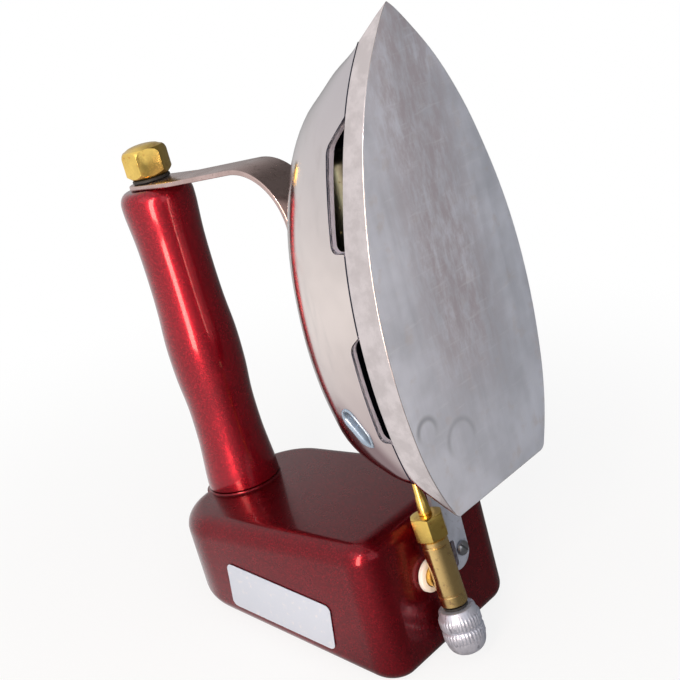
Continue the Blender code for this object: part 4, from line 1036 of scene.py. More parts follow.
# Soleplate
def sole_level(depth, inset, corner):
    """Left and right edge points of the soleplate at one depth share."""
    start = HEEL_RAKE * depth + inset
    end = SOLE_LENGTH - NOSE_RAKE * depth - inset
    left, right = [], []
    for share in end_shares(70):
        along = start + (end - start) * share
        half = 0.0 if share >= 1.0 else max(rounded_width(along, start, corner) - inset, 0.0)
        level = -sole_depth(along) * depth
        left.append((level, -half, along))
        right.append((level, half, along))
    return left, right


class IRON_OT_soleplate(IronOperator, bpy.types.Operator):
    """Build the soleplate with its rounded face edge"""
    bl_idname = "iron.soleplate"
    bl_label = "Soleplate"

    def build(self):
        edge = sizes().sole_edge
        levels = [((edge - edge * cosine) / SOLE_THICKNESS, edge - edge * sine)
                  for sine, cosine in quarter(4)]
        levels += SOLE_SIDE
        rings = []
        shape = bmesh.new()
        for depth, inset in levels:
            corner = FACE_CORNER + (HEEL_CORNER - FACE_CORNER) * depth
            left, right = sole_level(depth, inset, corner)
            lefts = [shape.verts.new(point) for point in left]
            rings.append((lefts, [shape.verts.new(point) for point in right[:-1]] + [lefts[-1]]))
        last = len(rings[0][0]) - 1
        for (low_left, low_right), (high_left, high_right) in zip(rings[:-1], rings[1:]):
            for index in range(last):
                shape.faces.new((low_left[index], low_left[index + 1],
                                 high_left[index + 1], high_left[index]))
                shape.faces.new((low_right[index + 1], low_right[index],
                                 high_right[index], high_right[index + 1]))
            shape.faces.new((low_right[0], low_left[0], high_left[0], high_right[0]))
        for lefts, rights in (rings[0], rings[-1]):
            for index in range(last):
                corners = [lefts[index], rights[index], rights[index + 1], lefts[index + 1]]
                shape.faces.new(corners[:3] if index == last - 1 else corners)
        mesh = finish_mesh(shape, "soleplate_fine", 38.0)
        item = set_piece("soleplate_fine", mesh, ("worn_sole_face", "polished_sole_edge"),
                         "iron", "soleplate")
        face_way = STANCE.to_3x3() @ Vector((1.0, 0.0, 0.0))
        for polygon in item.data.polygons:
            polygon.material_index = 0 if polygon.normal.dot(face_way) > 0.97 else 1


# Hood
def hood_mesh(name, inset, skirt, rings_count=60, across=44):
    """A dome over the soleplate's outline, closed across its rim."""
    toe = SOLE_LENGTH - NOSE_RAKE
    start, end = HEEL_RAKE + inset, toe - inset * 2.0
    shape = bmesh.new()
    rings = []
    for share in end_shares(rings_count):
        along = start + (end - start) * share
        outside = HEEL_RAKE + (toe - HEEL_RAKE) * share
        half = max(rounded_width(outside, HEEL_RAKE, HEEL_CORNER) - inset, inset)
        rim = sole_depth(outside) + GAP
        rise = max(ridge_height(outside) - inset - rim, 0.0)
        if share <= 0.0 or share >= 1.0:
            rise = 0.0
        ring = []
        for step in range(across + 1):
            angle = math.pi * step / across
            ring.append(shape.verts.new((-rim - rise * math.sin(angle),
                                         -half * math.cos(angle), along)))
        if skirt > 0.0:
            ring = [shape.verts.new((-rim + skirt, -half, along))] + ring
            ring.append(shape.verts.new((-rim + skirt, half, along)))
        rings.append(ring)
    for one, two in zip(rings[:-1], rings[1:]):
        for step in range(len(one) - 1):
            shape.faces.new((one[step], one[step + 1], two[step + 1], two[step]))
    if skirt > 0.0:
        shape.faces.new(rings[0])
        shape.faces.new(rings[-1])
        closing = list(zip(rings[:-1], rings[1:]))
    else:
        last = len(rings) - 1
        shape.faces.new(rings[0] + [rings[1][-1], rings[1][0]])
        shape.faces.new(rings[last] + [rings[last - 1][-1], rings[last - 1][0]])
        closing = list(zip(rings[1:last - 1], rings[2:last]))
    for one, two in closing:
        shape.faces.new((one[0], two[0], two[-1], one[-1]))
    return finish_mesh(shape, name)


def notch_outline(start, length, depth, taper):
    """A vent notch in the hood's rim, seen from the side."""
    rim = -sole_depth(start + length / 2.0)
    beyond = taper * (OVERRUN + GAP) / (depth - GAP)
    corners = ((rim + OVERRUN, start), (rim - depth, start),
               (rim - depth, start + length - taper), (rim + OVERRUN, start + length + beyond))
    return rounded_outline(corners, (0.0, NOTCH_CORNER, NOTCH_CORNER * 2.0, 0.0))


def notch_edge(name, start, length, depth, taper):
    """The hood's sheet turned inwards along a notch, on both sides."""
    span = 2.0 * (SOLE_HALF_WIDTH + OVERRUN)
    wide = notch_outline(start - NOTCH_SHEET, length + 2.0 * NOTCH_SHEET, depth + NOTCH_SHEET,
                         taper)
    side = seat((0.0, 0.0, 0.0), SIDE_ON)
    steps = [("INTERSECT", hood_mesh(name + "_skin", GAP, 0.0), Matrix()),
             ("DIFFERENCE", hood_mesh(name + "_core", NOTCH_TURN, 2.0 * OVERRUN), Matrix()),
             ("DIFFERENCE", slab_mesh(name + "_gap", notch_outline(start, length, depth, taper),
                                      2.0 * span), side)]
    return carved(slab_mesh(name + "_edge", wide, span), side, steps, 40.0)


def bracket_path():
    """The middle line of the heel bracket, from its lower end to its foot on the sole."""
    rest = TANK_FRONT + GAP + BRACKET_THICKNESS / 2.0
    foot = -SOLE_THICKNESS - GAP - BRACKET_THICKNESS / 2.0
    corners = tuple(zip((rest, rest, foot, foot), BRACKET_LEVELS))
    return filleted_path(corners, (BRACKET_BEND, BRACKET_BEND), 10)


def strip_slab(name, path, thickness, width):
    """A bent strip as a plain slab, for cutting its opening."""
    left, right = [], []
    for index, point in enumerate(path):
        along = (path[min(index + 1, len(path) - 1)] - path[max(index - 1, 0)]).normalized()
        aside = Vector((-along.y, along.x)) * thickness / 2.0
        left.append(tuple(point + aside))
        right.append(tuple(point - aside))
    return slab_mesh(name, left + right[::-1], width)


def dome_point(height, along, out=0.0):
    """A point on the label side of the hood's outside, at a height above the face."""
    rim = sole_depth(along) + GAP
    rise = ridge_height(along) - rim + out
    half = rounded_width(along, HEEL_RAKE, HEEL_CORNER) + out
    level = min(max((height - rim) / rise, 0.0), 0.999)
    return Vector((-height, -half * math.sqrt(1.0 - level ** 2), along))


def light_hole_outline(steps=18):
    """The light hole's outline, narrowed towards its lower end."""
    outline = []
    for index, (along, across) in enumerate(stadium(LIGHT_HOLE_LENGTH, LIGHT_HOLE_WIDTH, steps)):
        share = max(along, 0.0) / (LIGHT_HOLE_LENGTH / 2.0)
        if index not in (steps, 2 * steps + 1):
            outline.append((along, across * (1.0 - 0.6 * share ** 2)))
    return outline


def light_hole_lip():
    """A rolled lip round the light hole, turned inwards and broad on its outer side."""
    lip = sizes().hole_lip
    outline = light_hole_outline()
    turn = (math.cos(LIGHT_HOLE_SLANT), math.sin(LIGHT_HOLE_SLANT))
    rings = []
    for index, (grow, out, broad) in enumerate(LIP_RINGS):
        inward = LIP_INWARDS * (LIP_WALL if index in LIP_WALL_RINGS else 0.0)
        ring = []
        for across, up in outline:
            up *= 1.0 - (broad if up < 0.0 else 0.0)
            reach = math.hypot(across, up)
            share = 1.0 + grow * lip / max(reach, lip)
            across, up = across * share, up * share
            height = -LIGHT_HOLE[0] - (across * turn[0] + up * turn[1])
            along = LIGHT_HOLE[1] - across * turn[1] + up * turn[0]
            ring.append(dome_point(height, along, out * lip) + inward)
        rings.append(ring)
    shape = bmesh.new()
    made = [[shape.verts.new(spot) for spot in ring] for ring in rings]
    count = len(outline)
    for level, (one, two) in enumerate(zip(made, made[1:] + made[:1])):
        for index in range(count):
            after = (index + 1) % count
            face = shape.faces.new((one[index], one[after], two[after], two[index]))
            face.material_index = 1 if level + 1 >= LIP_WALL_RINGS[0] else 0
    return finish_mesh(shape, "light_hole_lip", 60.0)


class IRON_OT_hood(IronOperator, bpy.types.Operator):
    """Build the hood, its notches and its light hole"""
    bl_idname = "iron.hood"
    bl_label = "Hood"

    def build(self):
        span = 2.0 * (SOLE_HALF_WIDTH + OVERRUN)
        cuts = [("DIFFERENCE", hood_mesh("hood_inside", HOOD_WALL, OVERRUN), Matrix())]
        for name, start, length, depth, taper in NOTCHES:
            cuts.append(("DIFFERENCE", slab_mesh(name, notch_outline(start, length, depth, taper),
                                                 span), seat((0.0, 0.0, 0.0), SIDE_ON)))
        hole = seat((LIGHT_HOLE[0], -SOLE_HALF_WIDTH / 2.0 - LIGHT_HOLE_WIDTH, LIGHT_HOLE[1]),
                    (math.pi / 2.0, LIGHT_HOLE_SLANT, 0.0))
        cuts.append(("DIFFERENCE", slab_mesh("light_hole", light_hole_outline(),
                                             SOLE_HALF_WIDTH), hole))
        cuts.append(("DIFFERENCE", rod_mesh("mixer_hole", MIXER_HOLE_RADIUS, 0.0,
                                            MIXER_HOLE_DEPTH), BURNER_SEAT))
        cuts.append(("DIFFERENCE", strip_slab("bracket_opening", bracket_path(),
                                              BRACKET_THICKNESS + 4.0 * GAP,
                                              2.0 * (BRACKET_HALF_WIDTH + 2.0 * GAP)),
                     seat((0.0, BRACKET_SIDE, 0.0), SIDE_ON)))
        mesh = carved(hood_mesh("hood_fine", 0.0, 0.0), Matrix(), cuts, 35.0)
        item = set_piece("hood_fine", mesh, ("polished_hood_steel", "sooty_hood_inside"),
                         "iron", "hood")
        middle = STANCE @ Vector((-0.010, 0.0, SOLE_LENGTH / 2.0))
        for polygon in item.data.polygons:
            outwards = polygon.normal.dot((polygon.center - middle).normalized())
            polygon.material_index = 1 if outwards < -0.02 else 0
        set_piece("light_hole_lip", light_hole_lip(), ("pale_lip_steel", "sooty_hood_inside"),
                  "iron")
        for notch in NOTCHES:
            set_piece(notch[0] + "_edge", notch_edge(*notch), "dulled_steel", "iron")


# Strap
def foot_line():
    """Slope and level of the strap's foot where it touches the hood's crown."""
    step = HOOD_WALL
    slope = (ridge_height(STRAP_TOUCH + step) - ridge_height(STRAP_TOUCH - step)) / (2.0 * step)
    lift = (GAP + STRAP_THICKNESS / 2.0) * math.hypot(1.0, slope)
    return slope, ridge_height(STRAP_TOUCH) + lift


def foot_height(along):
    """Height of the strap foot's middle line above the ironing face."""
    slope, level = foot_line()
    return level + slope * (along - STRAP_TOUCH)


class IRON_OT_strap(IronOperator, bpy.types.Operator):
    """Build the strap from the handle's end to the hood, and its rivets"""
    bl_idname = "iron.strap"
    bl_label = "Strap"

    def build(self):
        strap_low = GRIP_FOOT + GRIP_LENGTH + GAP
        level = strap_low + STRAP_THICKNESS / 2.0
        far = level + STRAP_RISE
        corners = ((HANDLE_AXIS - STRAP_HALF_WIDTH, level), (HANDLE_AXIS + STRAP_FLAT, level),
                   (-foot_height(far), far), (-foot_height(STRAP_FOOT), STRAP_FOOT))
        path = filleted_path(corners, STRAP_BENDS, 24)
        edge = sizes().strap_edge
        path, widths = round_end(path, path[0], 0, STRAP_HALF_WIDTH, edge)
        strip = strip_mesh("front_strap_fine", path, widths, STRAP_THICKNESS, edge)
        hole = rod_mesh("strap_hole", ROD_BORE, strap_low - OVERRUN,
                        strap_low + STRAP_THICKNESS + OVERRUN)
        strip = carved(strip, Matrix(), [("DIFFERENCE", hole, HANDLE_SEAT)], 40.0)
        set_piece("front_strap_fine", strip, "browned_strap_steel", "iron",
                  "front_strap")
        slope = foot_line()[0]
        tilt = -math.pi / 2.0 - math.atan(slope)
        lift = (STRAP_THICKNESS / 2.0 + GAP) * math.hypot(1.0, slope)
        for name, rise in RIVETS:
            along = STRAP_FOOT + rise
            profile = [(0.0, RIVET_HEIGHT)]
            profile += [(RIVET_RADIUS * sine, RIVET_HEIGHT * cosine)
                        for sine, cosine in quarter(6, 1)]
            profile += [(RIVET_SHANK, 0.0), (RIVET_SHANK, -RIVET_LENGTH), (0.0, -RIVET_LENGTH)]
            place = seat((-foot_height(along) - lift, 0.0, along), (0.0, tilt, 0.0))
            set_piece(name + "_fine", turned_mesh(name, profile, 40), "plated_steel", "iron",
                      name, place)


# Handle
class IRON_OT_handle(IronOperator, bpy.types.Operator):
    """Build the turned grip"""
    bl_idname = "iron.handle"
    bl_label = "Handle"

    def build(self):
        top = GRIP_FOOT + GRIP_LENGTH
        shoulder_start = top - GRIP_SHOULDER
        profile = [(ROD_BORE, top)]
        top_radius = GRIP_RADIUS * smooth_value(GRIP_SHARES, 1.0 - GRIP_SHOULDER / GRIP_LENGTH)
        profile += [(top_radius - GRIP_SHOULDER * GRIP_ROUNDING * (1.0 - sine),
                     shoulder_start + GRIP_SHOULDER * cosine) for sine, cosine in quarter(8)]
        for step in range(1, GRIP_STEPS):
            share = 1.0 - step / GRIP_STEPS
            height = GRIP_FOOT + (shoulder_start - GRIP_FOOT) * share
            radius = GRIP_RADIUS * smooth_value(GRIP_SHARES, (height - GRIP_FOOT) / GRIP_LENGTH)
            profile.append((radius, height))
        profile += [(GRIP_RADIUS, GRIP_FOOT + GRIP_FOOT_EDGE),
                    (GRIP_RADIUS - GRIP_FOOT_EDGE, GRIP_FOOT), (ROD_BORE, GRIP_FOOT)]
        set_turned("handle_grip", profile, 96, "candy_paint_handle",
                   HANDLE_SEAT)


def hex_mesh(name, across_flats, low, high):
    """A six-sided bar along z, one corner towards x."""
    corner = across_flats / math.sqrt(3.0)
    outline = [(corner * math.cos(math.pi * index / 3.0), corner * math.sin(math.pi * index / 3.0))
               for index in range(6)]
    mesh = slab_mesh(name, outline, high - low)
    mesh.transform(Matrix.Translation((0.0, 0.0, (low + high) / 2.0)))
    return mesh


def nut_mesh(name, across_flats, low, high, chamfer, dome, bore, bore_low, bore_high, place):
    """A six-sided nut, turned down at both ends and bored."""
    corner, flat = across_flats / math.sqrt(3.0), across_flats / 2.0
    turned = [(0.0, high + dome)]
    for step in range(1, 6):
        share = step / 6.0
        turned.append((flat * 0.86 * share, high + dome * (1.0 - share ** 2.4)))
    turned += [(flat * 0.90 + (corner * 1.01 - flat * 0.90) * sine,
                high - chamfer * (0.1 + 0.9 * (1.0 - cosine))) for sine, cosine in quarter(4)]
    turned += [(corner * 1.01, low + chamfer * 0.5), (flat * 0.9, low), (0.0, low)]
    steps = [("INTERSECT", turned_mesh(name + "_turning", turned, 96), place),
             ("DIFFERENCE", rod_mesh(name + "_bore", bore, bore_low, bore_high), place)]
    return carved(hex_mesh(name, across_flats, low, high + dome), place, steps, 26.0, NUT_EDGE)


class IRON_OT_nut(IronOperator, bpy.types.Operator):
    """Build the cap nut and its washer"""
    bl_idname = "iron.nut"
    bl_label = "Cap nut"

    def build(self):
        washer_low = GRIP_FOOT + GRIP_LENGTH + 2.0 * GAP + STRAP_THICKNESS
        washer_top = washer_low + WASHER_THICKNESS
        low = washer_top + GAP
        mesh = nut_mesh("cap_nut_fine", NUT_FLATS, low, low + NUT_HEIGHT, NUT_CHAMFER, NUT_DOME,
                        ROD_BORE, low - OVERRUN, low + NUT_BORE_DEPTH, HANDLE_SEAT)
        set_piece("cap_nut_fine", mesh, "bright_brass", "iron", "cap_nut")
        inner = WASHER_RADIUS - WASHER_EDGE
        profile = [(inner, washer_top), (WASHER_RADIUS, washer_top - WASHER_EDGE),
                   (WASHER_RADIUS, washer_low + WASHER_EDGE), (inner, washer_low),
                   (ROD_BORE, washer_low), (ROD_BORE, washer_top)]
        set_turned("nut_washer", profile, 64, "dark_rubber", HANDLE_SEAT)


# Tank
def tank_box(name, corner_steps, rim_steps):
    """A box with a slanted base, its upright corners and its rims rounded."""
    front_base = TANK_TOP - TANK_FRONT_DEPTH
    rear_base = front_base + (TANK_FRONT - TANK_REAR) * math.tan(LEAN)
    shape = bmesh.new()
    bmesh.ops.create_cube(shape, size=2.0)
    for vert in shape.verts:
        ahead, above = vert.co.x > 0.0, vert.co.z > 0.0
        vert.co.x = TANK_FRONT if ahead else TANK_REAR
        vert.co.y = math.copysign(TANK_HALF_WIDTH, vert.co.y)
        vert.co.z = TANK_TOP if above else (front_base if ahead else rear_base)
    middle = (TANK_FRONT + TANK_REAR) / 2.0
    for ahead, radius in ((True, TANK_FRONT_CORNER), (False, TANK_REAR_CORNER)):
        uprights = [edge for edge in shape.edges
                    if abs(edge.verts[0].co.x - edge.verts[1].co.x) < GAP
                    and abs(edge.verts[0].co.y - edge.verts[1].co.y) < GAP
                    and abs(edge.verts[0].co.z - edge.verts[1].co.z) > TANK_BASE_EDGE
                    and (edge.verts[0].co.x > middle) == ahead]
        bmesh.ops.bevel(shape, geom=uprights, offset=radius, offset_type="OFFSET",
                        segments=corner_steps, profile=0.5, affect="EDGES", clamp_overlap=True)
    rims = {"top": [], "base": []}
    for edge in shape.edges:
        if len(edge.link_faces) != 2:
            continue
        tilts = sorted(abs(face.normal.z) for face in edge.link_faces)
        if tilts[1] > 0.9 and tilts[0] < 0.5:
            raised = max(face.normal.z for face in edge.link_faces) > 0.5
            rims["top" if raised else "base"].append(edge)
    for key, radius in (("top", sizes().tank_edge), ("base", TANK_BASE_EDGE)):
        edges = [edge for edge in rims[key] if edge.is_valid]
        bmesh.ops.bevel(shape, geom=edges, offset=radius, offset_type="OFFSET",
                        segments=rim_steps, profile=0.5, affect="EDGES", clamp_overlap=True)
    return finish_mesh(shape, name, 40.0)


class IRON_OT_tank(IronOperator, bpy.types.Operator):
    """Build the fuel tank's shell and the seat of the handle"""
    bl_idname = "iron.tank"
    bl_label = "Fuel tank"

    def build(self):
        along, height = FILLER_SPOT
        steps = [("DIFFERENCE", rod_mesh("stub_hole", STUB_HOLE, -STUB_HOLE_DEPTH, OVERRUN),
                  seat((TANK_FRONT, VALVE_SIDE, STUB_HEIGHT), FACING_OUT)),
                 ("DIFFERENCE", rod_mesh("filler_hole", FILLER_HOLE, -FILLER_HOLE_DEPTH, OVERRUN),
                  seat((along, TANK_HALF_WIDTH, height), OUT_OF_SIDE))]
        mesh = carved(tank_box("fuel_tank_fine", 14, 9), Matrix(), steps, 40.0)
        set_piece("fuel_tank_fine", mesh, "candy_paint_tank", "iron", "fuel_tank")
        seat_top, seat_low = TANK_TOP + SEAT_RISE, TANK_TOP - SEAT_SUNK
        weld = [(GRIP_RADIUS + WELD_WIDTH, seat_low)]
        weld += [(GRIP_RADIUS + WELD_WIDTH * (1.0 - sine) * 0.8, seat_top - WELD_HEIGHT * cosine)
                 for sine, cosine in quarter(6, 1)]
        weld += [(ROD_BORE, seat_top), (ROD_BORE, seat_low)]
        set_piece("handle_seat", turned_mesh("handle_seat", weld, 96, True),
                  "candy_paint_tank", "iron", None, HANDLE_SEAT)


class IRON_OT_label(IronOperator, bpy.types.Operator):
    """Build the bare label plate"""
    bl_idname = "iron.label"
    bl_label = "Blank label"

    def build(self):
        across, up = LABEL_HALVES
        corners = ((-across, -up), (across, -up), (across, up), (-across, up))
        plate = slab_mesh("blank_label_fine", rounded_outline(corners, (LABEL_CORNER,) * 4),
                          LABEL_THICKNESS)
        along, height = LABEL_SPOT
        place = seat((along, -TANK_HALF_WIDTH - GAP - LABEL_THICKNESS / 2.0, height),
                     (math.pi / 2.0, LEAN, 0.0))
        mesh = carved(plate, place, [], 32.0, LABEL_EDGE, 3)
        set_piece("blank_label_fine", mesh, "blank_label", "iron", "blank_label")


# Valve
class IRON_OT_valve(IronOperator, bpy.types.Operator):
    """Build the valve body, jet holder, nozzle, stub and washer"""
    bl_idname = "iron.valve"
    bl_label = "Valve"

    def build(self):
        body = [(VALVE_RADIUS - inset, VALVE_TOP - drop) for inset, drop in VALVE_HEAD]
        body += [(VALVE_RADIUS - inset, VALVE_BOTTOM + rise) for inset, rise in VALVE_FOOT]
        body += [(VALVE_BORE, VALVE_BOTTOM), (VALVE_BORE, VALVE_TOP)]
        set_turned("valve_body", body, 80, "aged_brass", VALVE_SEAT)
        low = VALVE_TOP + GAP
        high = low + HOLDER_HEIGHT
        holder = nut_mesh("jet_holder_fine", HOLDER_FLATS, low, high, HOLDER_CHAMFER, 0.0,
                          HOLDER_BORE, low - OVERRUN, high + OVERRUN,
                          VALVE_SEAT @ HOLDER_TURN)
        set_piece("jet_holder_fine", holder, "bright_brass", "iron", "jet_holder")
        nozzle_low = high + GAP
        nozzle_foot = high - NOZZLE_SUNK
        tip = nozzle_low + NOZZLE_LENGTH
        nozzle = [(radius, tip - drop) for radius, drop in NOZZLE_TIP]
        nozzle += [(radius, nozzle_low + rise) for radius, rise in NOZZLE_STEPS]
        nozzle += [(NOZZLE_TAIL, nozzle_foot), (NOZZLE_BORE, nozzle_foot), (NOZZLE_BORE, tip)]
        set_turned("jet_nozzle", nozzle, 48, "bright_brass", VALVE_SEAT)
        stub_end = TANK_FRONT - STUB_SUNK + GAP
        reach = -VALVE_HEIGHT - stub_end
        stub = [(STUB_RADIUS, reach), (STUB_RADIUS, 0.0), (STUB_BORE, 0.0), (STUB_BORE, reach)]
        saddle = rod_mesh("stub_saddle", VALVE_RADIUS + GAP, STUB_HEIGHT - STUB_SADDLE,
                          STUB_HEIGHT + STUB_SADDLE)
        mesh = carved(turned_mesh("tank_stub_fine", stub, 64, True),
                      seat((stub_end, VALVE_SIDE, STUB_HEIGHT), FACING_OUT),
                      [("DIFFERENCE", saddle, VALVE_SEAT)], 40.0)
        set_piece("tank_stub_fine", mesh, "bright_brass", "iron", "tank_stub")
        ring, thick, edge = STUB_WASHER_RADIUS, STUB_WASHER_THICKNESS, STUB_WASHER_EDGE
        washer = [(ring - edge, thick), (ring - edge * 0.3, thick - edge * 0.3),
                  (ring, thick - edge), (ring, edge), (ring - edge, 0.0),
                  (STUB_HOLE, 0.0), (STUB_HOLE, thick)]
        set_turned("stub_washer", washer, 72, "white_nylon",
                   seat((TANK_FRONT + GAP, VALVE_SIDE, STUB_HEIGHT), FACING_OUT))


class IRON_OT_knob(IronOperator, bpy.types.Operator):
    """Build the valve knob with its two ribbed rows"""
    bl_idname = "iron.knob"
    bl_label = "Valve knob"

    def build(self):
        top = VALVE_BOTTOM - 2.0 * GAP - GLAND_RING
        rib = (sizes().knob_ribs, KNOB_RIB_DEPTH)
        profile = [(radius, top - drop) for radius, drop, _ in KNOB_PROFILE]
        ribs = [rib if ribbed else None for _, _, ribbed in KNOB_PROFILE]
        nose = KNOB_LENGTH - KNOB_ROWS
        profile += [(KNOB_NECK * (1.0 - 0.55 * (1.0 - cosine)), top - KNOB_ROWS - nose * sine)
                    for sine, cosine in quarter(9, 1)]
        profile += [(0.0, top - KNOB_LENGTH), (0.0, top - KNOB_SUNK),
                    (KNOB_BORE, top - KNOB_SUNK), (KNOB_BORE, top)]
        ribs += [None] * (len(profile) - len(ribs))
        mesh = turned_mesh("valve_knob_fine", profile + profile[:1], 216, False,
                           ribs + ribs[:1], 50.0)
        set_piece("valve_knob_fine", mesh, "cast_knob_metal", "knob", "valve_knob",
                  VALVE_SEAT)


# Bracket and screws
def screw_mesh(name, radius, head_radius, head_height, length, place):
    """A pan-head screw with a slot across its head."""
    profile = [(0.0, head_height)]
    profile += [(head_radius * sine ** 0.8, head_height * (0.2 + 0.8 * cosine))
                for sine, cosine in quarter(7, 1)]
    profile += [(head_radius, 0.0), (radius, 0.0), (radius, -length), (0.0, -length)]
    reach = 2.0 * head_radius
    bar = slab_mesh(name + "_slot", ((-reach, -SCREW_SLOT), (reach, -SCREW_SLOT),
                                     (reach, SCREW_SLOT), (-reach, SCREW_SLOT)),
                    SCREW_SLOT_DEPTH)
    turned_bar = place @ seat((0.0, 0.0, head_height), SCREW_SLOT_TURN)
    return carved(turned_mesh(name, profile, 48), place, [("DIFFERENCE", bar, turned_bar)])


class IRON_OT_bracket(IronOperator, bpy.types.Operator):
    """Build the heel bracket, its slot and the screw into the tank"""
    bl_idname = "iron.bracket"
    bl_label = "Heel bracket"

    def build(self):
        path = bracket_path()
        rest, edge = path[0].x, 0.0004
        path, widths = round_end(path, Vector((rest, BRACKET_END)), 1, BRACKET_HALF_WIDTH, edge)
        strip = strip_mesh("heel_bracket_fine", path, widths, BRACKET_THICKNESS, edge)
        slot = slab_mesh("bracket_slot", stadium(*BRACKET_SLOT), BRACKET_THICKNESS + 2.0 * OVERRUN)
        steps = [("DIFFERENCE", slot, seat((rest, BRACKET_SIDE - BRACKET_SLOT_ASIDE,
                                            BRACKET_SCREW), FACING_OUT))]
        mesh = carved(strip, seat((0.0, BRACKET_SIDE, 0.0)), steps, 40.0)
        set_piece("heel_bracket_fine", mesh, "dull_bracket_plate", "iron",
                  "heel_bracket")
        place = seat((rest + BRACKET_THICKNESS / 2.0 + GAP, BRACKET_SIDE + BRACKET_SCREW_ASIDE,
                      BRACKET_SCREW), FACING_OUT)
        screw = screw_mesh("bracket_tank_screw_fine", *TANK_SCREW, place)
        set_piece("bracket_tank_screw_fine", screw, "plated_steel", "iron",
                  "bracket_tank_screw")


class IRON_OT_burner(IronOperator, bpy.types.Operator):
    """Build the burner head with its gas ports"""
    bl_idname = "iron.burner"
    bl_label = "Burner"

    def build(self):
        end = BURNER_START + BURNER_LENGTH
        profile = [(0.0, end)]
        profile += [(BURNER_RADIUS * sine, end - BURNER_DOME + BURNER_DOME * cosine)
                    for sine, cosine in quarter(8, 1)]
        profile += [(BURNER_RADIUS, BURNER_START + BURNER_DOME), (BURNER_NECK, BURNER_START),
                    (0.0, BURNER_START)]
        ports = bmesh.new()
        count = sizes().burner_ports
        for row in range(PORT_ROWS):
            height = end - BURNER_DOME - PORT_START - row * PORT_PITCH
            for index in range(count):
                angle = 2.0 * math.pi * (index + 0.5 * (row % 2)) / count
                spot = (Matrix.Rotation(angle, 4, "Z")
                        @ Matrix.Translation((BURNER_RADIUS, 0.0, height))
                        @ Matrix.Rotation(math.pi / 2.0, 4, "Y"))
                bmesh.ops.create_cone(ports, cap_ends=True, segments=10,
                                      radius1=PORT_RADIUS, radius2=PORT_RADIUS,
                                      depth=PORT_DEPTH, matrix=spot)
        cutter = finish_mesh(ports, "burner_ports")
        mesh = carved(turned_mesh("burner_head_fine", profile, 64), BURNER_SEAT,
                      [("DIFFERENCE", cutter, BURNER_SEAT)], 32.0)
        set_piece("burner_head_fine", mesh, "sooty_brass", "iron", "burner_head")


def coil_mesh(name, radius, wire, low, high, turns, turn_steps=20, sides=8):
    """A round wire wound about z, with flat ends."""
    shape = bmesh.new()
    count = turns * turn_steps
    rings = []
    for index in range(count + 1):
        angle = 2.0 * math.pi * index / turn_steps
        outward = Vector((math.cos(angle), math.sin(angle), 0.0))
        centre = outward * radius + Vector((0.0, 0.0, low + (high - low) * index / count))
        ring = []
        for side in range(sides):
            turn = 2.0 * math.pi * side / sides
            ring.append(shape.verts.new(centre + outward * wire * math.cos(turn)
                                        + Vector((0.0, 0.0, wire * math.sin(turn)))))
        rings.append(ring)
    for one, two in zip(rings[:-1], rings[1:]):
        for side in range(sides):
            after = (side + 1) % sides
            shape.faces.new((one[side], one[after], two[after], two[side]))
    shape.faces.new(rings[0])
    shape.faces.new(rings[-1])
    return finish_mesh(shape, name, 60.0)


class IRON_OT_filler(IronOperator, bpy.types.Operator):
    """Build the filler valve's collar, gasket, pin and spring"""
    bl_idname = "iron.filler"
    bl_label = "Filler valve"

    def build(self):
        along, height = FILLER_SPOT
        place = seat((along, TANK_HALF_WIDTH + GAP, height), OUT_OF_SIDE)
        low = GASKET_THICKNESS + GAP
        top, floor, end = low + COLLAR_THICKNESS, low - BARREL_FLOOR, low - BARREL_DEPTH
        stop = top - PIN_STOP
        body = [(0.0030, top), (COLLAR_RADIUS - COLLAR_EDGE, top),
                (COLLAR_RADIUS, top - COLLAR_EDGE), (COLLAR_RADIUS, low), (BARREL_RADIUS, low),
                (BARREL_RADIUS, end), (0.0010, end), (0.0010, floor), (BARREL_BORE, floor),
                (BARREL_BORE, stop), (PIN_BORE, stop), (PIN_BORE, top - 0.0012),
                (0.0026, top - 0.0006)]
        set_turned("filler_body", body, 64, "bright_brass", place)
        inner = GASKET_RADIUS - GASKET_EDGE
        gasket = [(inner, GASKET_THICKNESS), (GASKET_RADIUS, GASKET_THICKNESS - GASKET_EDGE),
                  (GASKET_RADIUS, GASKET_EDGE), (inner, 0.0), (GASKET_BORE, 0.0),
                  (GASKET_BORE, GASKET_THICKNESS)]
        set_turned("filler_gasket", gasket, 64, "dark_rubber", place)
        flange_top = stop - GAP
        flange_low = flange_top - FLANGE_THICKNESS
        pin_top = top + PIN_RISE
        pin = [(0.0, pin_top), (0.0009, pin_top), (PIN_RADIUS, pin_top - 0.0003),
               (PIN_RADIUS, flange_top), (FLANGE_RADIUS, flange_top),
               (FLANGE_RADIUS, flange_low), (0.0, flange_low)]
        set_piece("filler_stem_fine", turned_mesh("filler_stem_fine", pin, 40), "bright_brass",
                  "filler_pin", "filler_stem", place)
        low = floor + GAP + SPRING_WIRE
        high = flange_low - GAP - SPRING_WIRE
        coil = coil_mesh("filler_spring_fine", SPRING_RADIUS, SPRING_WIRE, low, high,
                         SPRING_TURNS)
        spring = set_piece("filler_spring_fine", coil, "plated_steel", "iron",
                           "filler_spring", place)
        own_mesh(spring)


class IRON_OT_fittings(IronOperator, bpy.types.Operator):
    """Finish the small fittings that keep the model's own shape"""
    bl_idname = "iron.fittings"
    bl_label = "Small fittings"

    def build(self):
        for finish, nodes in (
                ("plated_steel", ("tie_rod", "burner_post", "hood_lug_left", "hood_lug_right",
                                  "hood_lug_screw_left", "hood_lug_screw_right",
                                  "bracket_sole_screw", "valve_stem", "valve_needle")),
                ("sooty_brass", ("mixing_tube",)),
                ("aged_brass", ("dip_tube",)),
                ("dark_rubber", ("gland_ring",))):
            for node in nodes:
                paint_node(node, finish)


